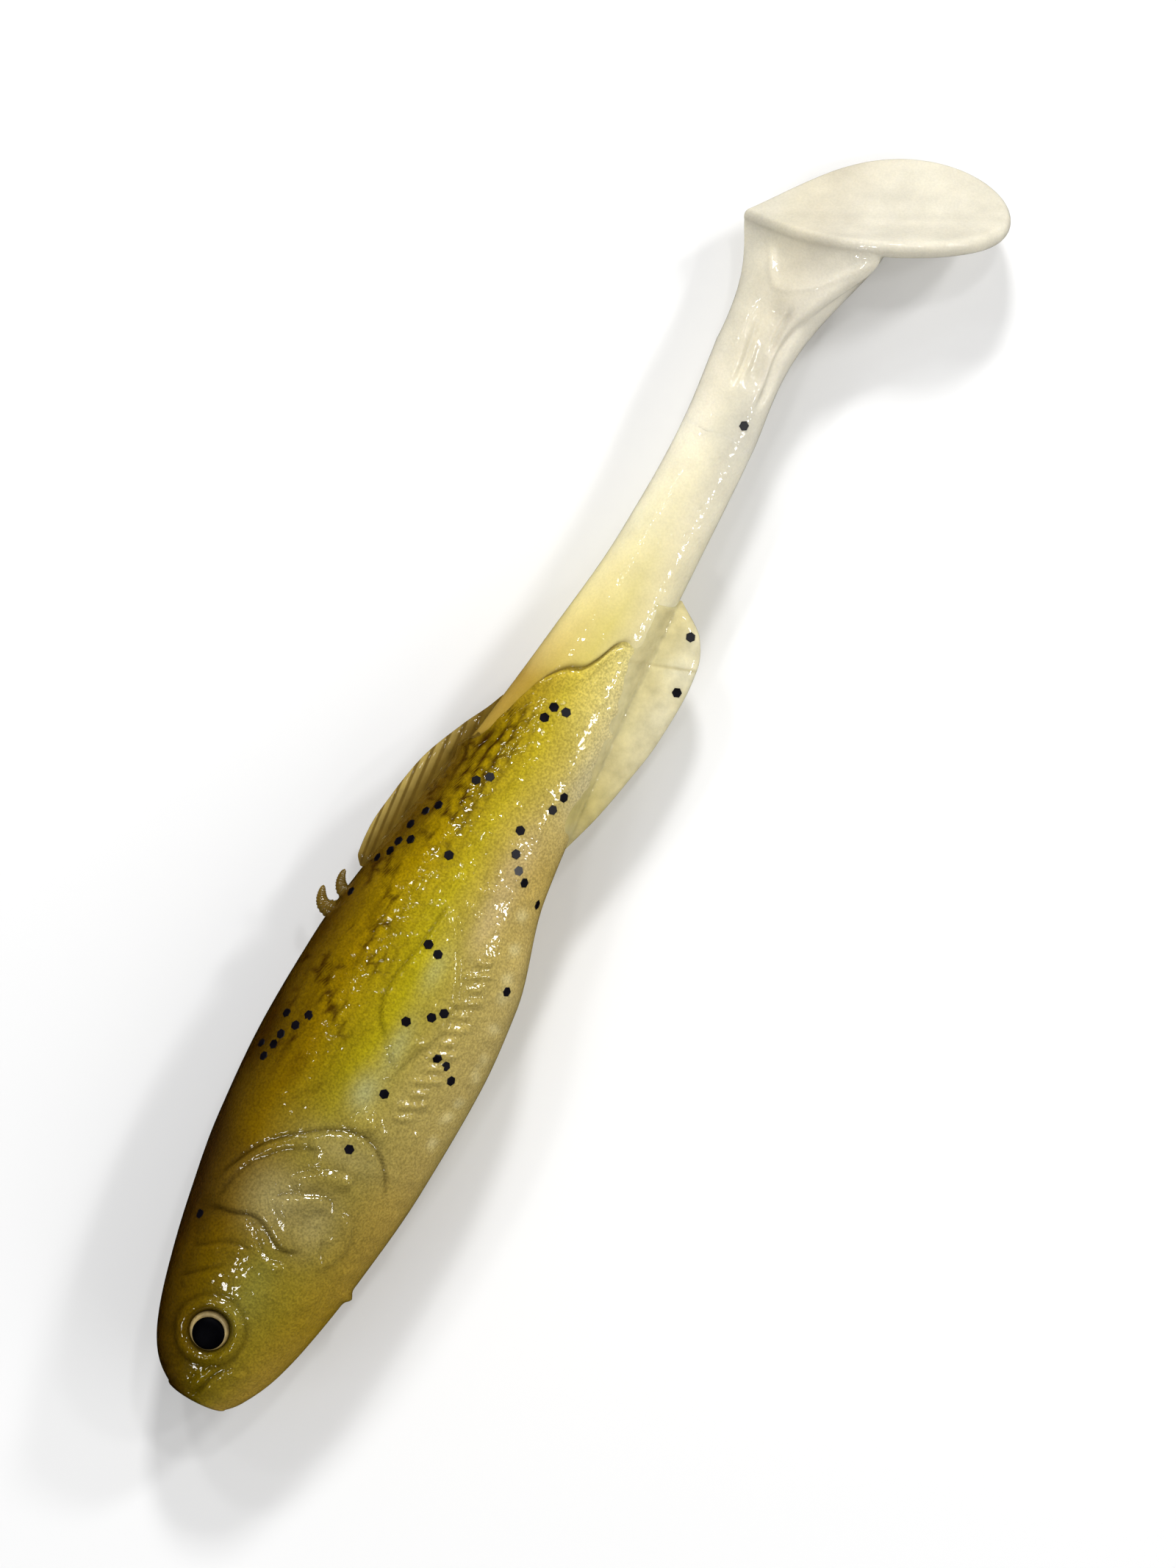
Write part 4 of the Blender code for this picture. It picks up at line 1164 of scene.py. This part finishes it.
def floor_material():
    made, _, shader = node_material("pale_floor")
    set_inputs(shader, {"Base Color": (0.86, 0.86, 0.86, 1), "Roughness": 0.9, "Specular IOR Level": 0.1})
    return made


def bend(piece, first, second, start, end):
    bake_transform(piece)


def numbered(prefix, count):
    return [f"{prefix}_flake_{i:02d}" for i in range(1, count + 1)]


def near_places(places):
    return [(x, y, 1) for x, y in places]


def far_places(places):
    """The same sort of scatter for the right flank, shifted so that the flanks differ."""
    return [(x + 0.9 * math.sin(7 * x), y * 0.8 + 0.7 * math.cos(5 * y), -1) for x, y in places]


def build_lure():
    body = body_skin(skin_material("pearl_olive_skin", 0.8, 0.22, 0.8))
    bend(body, "front", "rear", *BODY_BEND)
    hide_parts("front_back_pour", "front_belly_pour", "rear_back_pour")
    pearl = skin_material("pearl_white_skin", 0.6, 0.035, 0.3)
    tail = tail_skin(pearl)
    bend(tail, "rear", "stem", *STEM_BEND)
    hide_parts("rear_belly_pour", "tail_stem")
    paddle = paddle_skin(pearl)
    bend(paddle, "stem", "paddle", *PADDLE_BEND)
    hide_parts("paddle")

    dark_fin = fin_material("olive_fin", linear("5c4614"))
    pale_fin = fin_material("pearl_fin", linear("c2b583"))
    dorsal = fin_piece("dorsal_fin_skin", DORSAL_SPAN, DORSAL_EDGE, dorsal_root, (1.15, 0.5), 0.5,
                       ray_relief, dark_fin, dorsal_tint)
    bend(dorsal, "rear", "dorsal_fin", *DORSAL_BEND)
    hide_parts("dorsal_fin")
    anal = fin_piece("anal_fin_skin", ANAL_SPAN, ANAL_EDGE, anal_root, (1.0, 0.7), 1.7,
                     anal_relief, pale_fin, anal_tint)
    bend(anal, "rear", "anal_fin", *ANAL_BEND)
    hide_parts("anal_fin")

    for name, node, course in SPINES:
        spine = spine_piece(name, course, dark_fin)
        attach(spine, "front")
        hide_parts(node)

    iris = mottled_material("iris_gold", "a08a56", (3.0, 3, 0.8, 1.2), {"Metallic": 0.1, "Roughness": 0.4})
    pupil = mottled_material("pupil_black", "020204", (2.0, 2, 0.6, 1.4),
                             {"Roughness": 0.5, "Specular IOR Level": 0.02})
    for side in ("left", "right"):
        eye_pieces(side, iris, pupil)

    glitter = mottled_material("black_glitter", "0b0910", (0.9, 1, 0.6, 1.4),
                               {"Roughness": 0.3, "Specular IOR Level": 0.2}, (0.35, 0.65))
    both = FRONT_FLAKES + REAR_FLAKES
    flakes = glitter_piece("body_glitter", body, near_places(both) + far_places(both), glitter, 3)
    bend(flakes, "front", "rear", *BODY_BEND)
    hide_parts(*numbered("front", len(FRONT_FLAKES)), *numbered("rear", len(REAR_FLAKES)))
    flakes = glitter_piece("ankle_glitter", paddle, near_places(STEM_FLAKES) + FAR_STEM_FLAKES, glitter, 4)
    bend(flakes, "stem", "paddle", *PADDLE_BEND)
    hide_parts(*numbered("stem", len(STEM_FLAKES)))
    flakes = glitter_piece("fin_glitter", anal, near_places(FIN_FLAKES) + FAR_FIN_FLAKES, glitter, 5)
    bend(flakes, "rear", "anal_fin", *ANAL_BEND)
    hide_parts(*numbered("anal_fin", len(FIN_FLAKES)))


FLOOR_SIZE = 4


def add_floor():
    bpy.ops.mesh.primitive_plane_add(size=FLOOR_SIZE, location=(0, 0, 0))
    floor = bpy.context.object
    floor.name = "floor"
    floor.data.materials.append(floor_material())
    floor.visible_glossy = False


def add_area_light(name, at, power, size, glints=True, shades=True):
    """A square lamp aimed at the middle of the lure: a fill lamp gives no glints, a glint lamp only those."""
    lamp = bpy.data.lights.new(name, "AREA")
    lamp.energy = power
    lamp.size = size
    obj = bpy.data.objects.new(name, lamp)
    obj.location = at
    obj.rotation_euler = (Vector((0, 0, 0)) - Vector(at)).to_track_quat("-Z", "Y").to_euler()
    obj.visible_glossy = glints
    obj.visible_diffuse = shades
    bpy.context.scene.collection.objects.link(obj)


VIEW_DISTANCE = 1.2
VIEW_CENTRE = (60.4, -5.2, 0)
VIEW_TURN = math.radians(-62)
FRAME_HEIGHT = 0.1297


def add_camera():
    """Straight above the flank, with the lure's nose to the lower left."""
    camera = bpy.data.cameras.new("camera")
    camera.sensor_fit = "VERTICAL"
    camera.sensor_height = 24
    camera.lens = camera.sensor_height * VIEW_DISTANCE / FRAME_HEIGHT
    camera.clip_start = 0.01
    obj = bpy.data.objects.new("camera", camera)
    obj.location = place(VIEW_CENTRE) + Vector((0, 0, VIEW_DISTANCE))
    obj.rotation_euler = (0, 0, VIEW_TURN)
    bpy.context.scene.collection.objects.link(obj)
    bpy.context.scene.camera = obj


# The lamps: name, place in metres, power in watts and width in metres. Small ones make the wet glints.
LAMPS = (
    ("key", (0.41, 0.2, 0.4), 1.7, 0.08),
    ("tail_key", (0.44, -0.2, 0.36), 0.9, 0.07),
    ("high_sparkle", (0.26, 0.34, 0.45), 0.4, 0.05),
    ("top_sparkle", (0.3, 0.0, 0.6), 0.4, 0.05),
    ("back_sparkle", (0.12, 0.42, 0.55), 0.16, 0.04),
    ("low_sparkle", (0.33, -0.33, 0.55), 0.35, 0.05),
    ("head_sparkle", (-0.3, 0.1, 0.55), 0.25, 0.05),
    ("snout_sparkle", (-0.5, 0.05, 0.3), 0.3, 0.04),
)
GLINT_LAMPS = (
    ("ankle_glint", (-0.36, 0.12, 0.52), 0.45, 0.07),
    ("belly_glint", (0.15, -0.48, 0.34), 0.6, 0.07),
)
FILL_LAMPS = (
    ("belly_fill", (0.0, -0.5, 0.35), 0.9, 0.5),
    ("nose_fill", (-0.42, 0.28, 0.46), 0.5, 0.3),
)
ROOM_LIGHT = 0.26


def add_lights():
    """A soft white room that lights the lure but shows in no reflection, and the lamps."""
    world = bpy.data.worlds.new("soft_room")
    world.use_nodes = True
    world.node_tree.nodes["Background"].inputs["Color"].default_value = (1, 1, 1, 1)
    world.node_tree.nodes["Background"].inputs["Strength"].default_value = ROOM_LIGHT
    bpy.context.scene.world = world
    world.cycles_visibility.glossy = False
    for lamp in LAMPS:
        add_area_light(*lamp)
    for lamp in GLINT_LAMPS:
        add_area_light(*lamp, shades=False)
    for lamp in FILL_LAMPS:
        add_area_light(*lamp, glints=False)
    bpy.context.scene.view_settings.view_transform = "Standard"


build_lure()
add_floor()
add_camera()
add_lights()
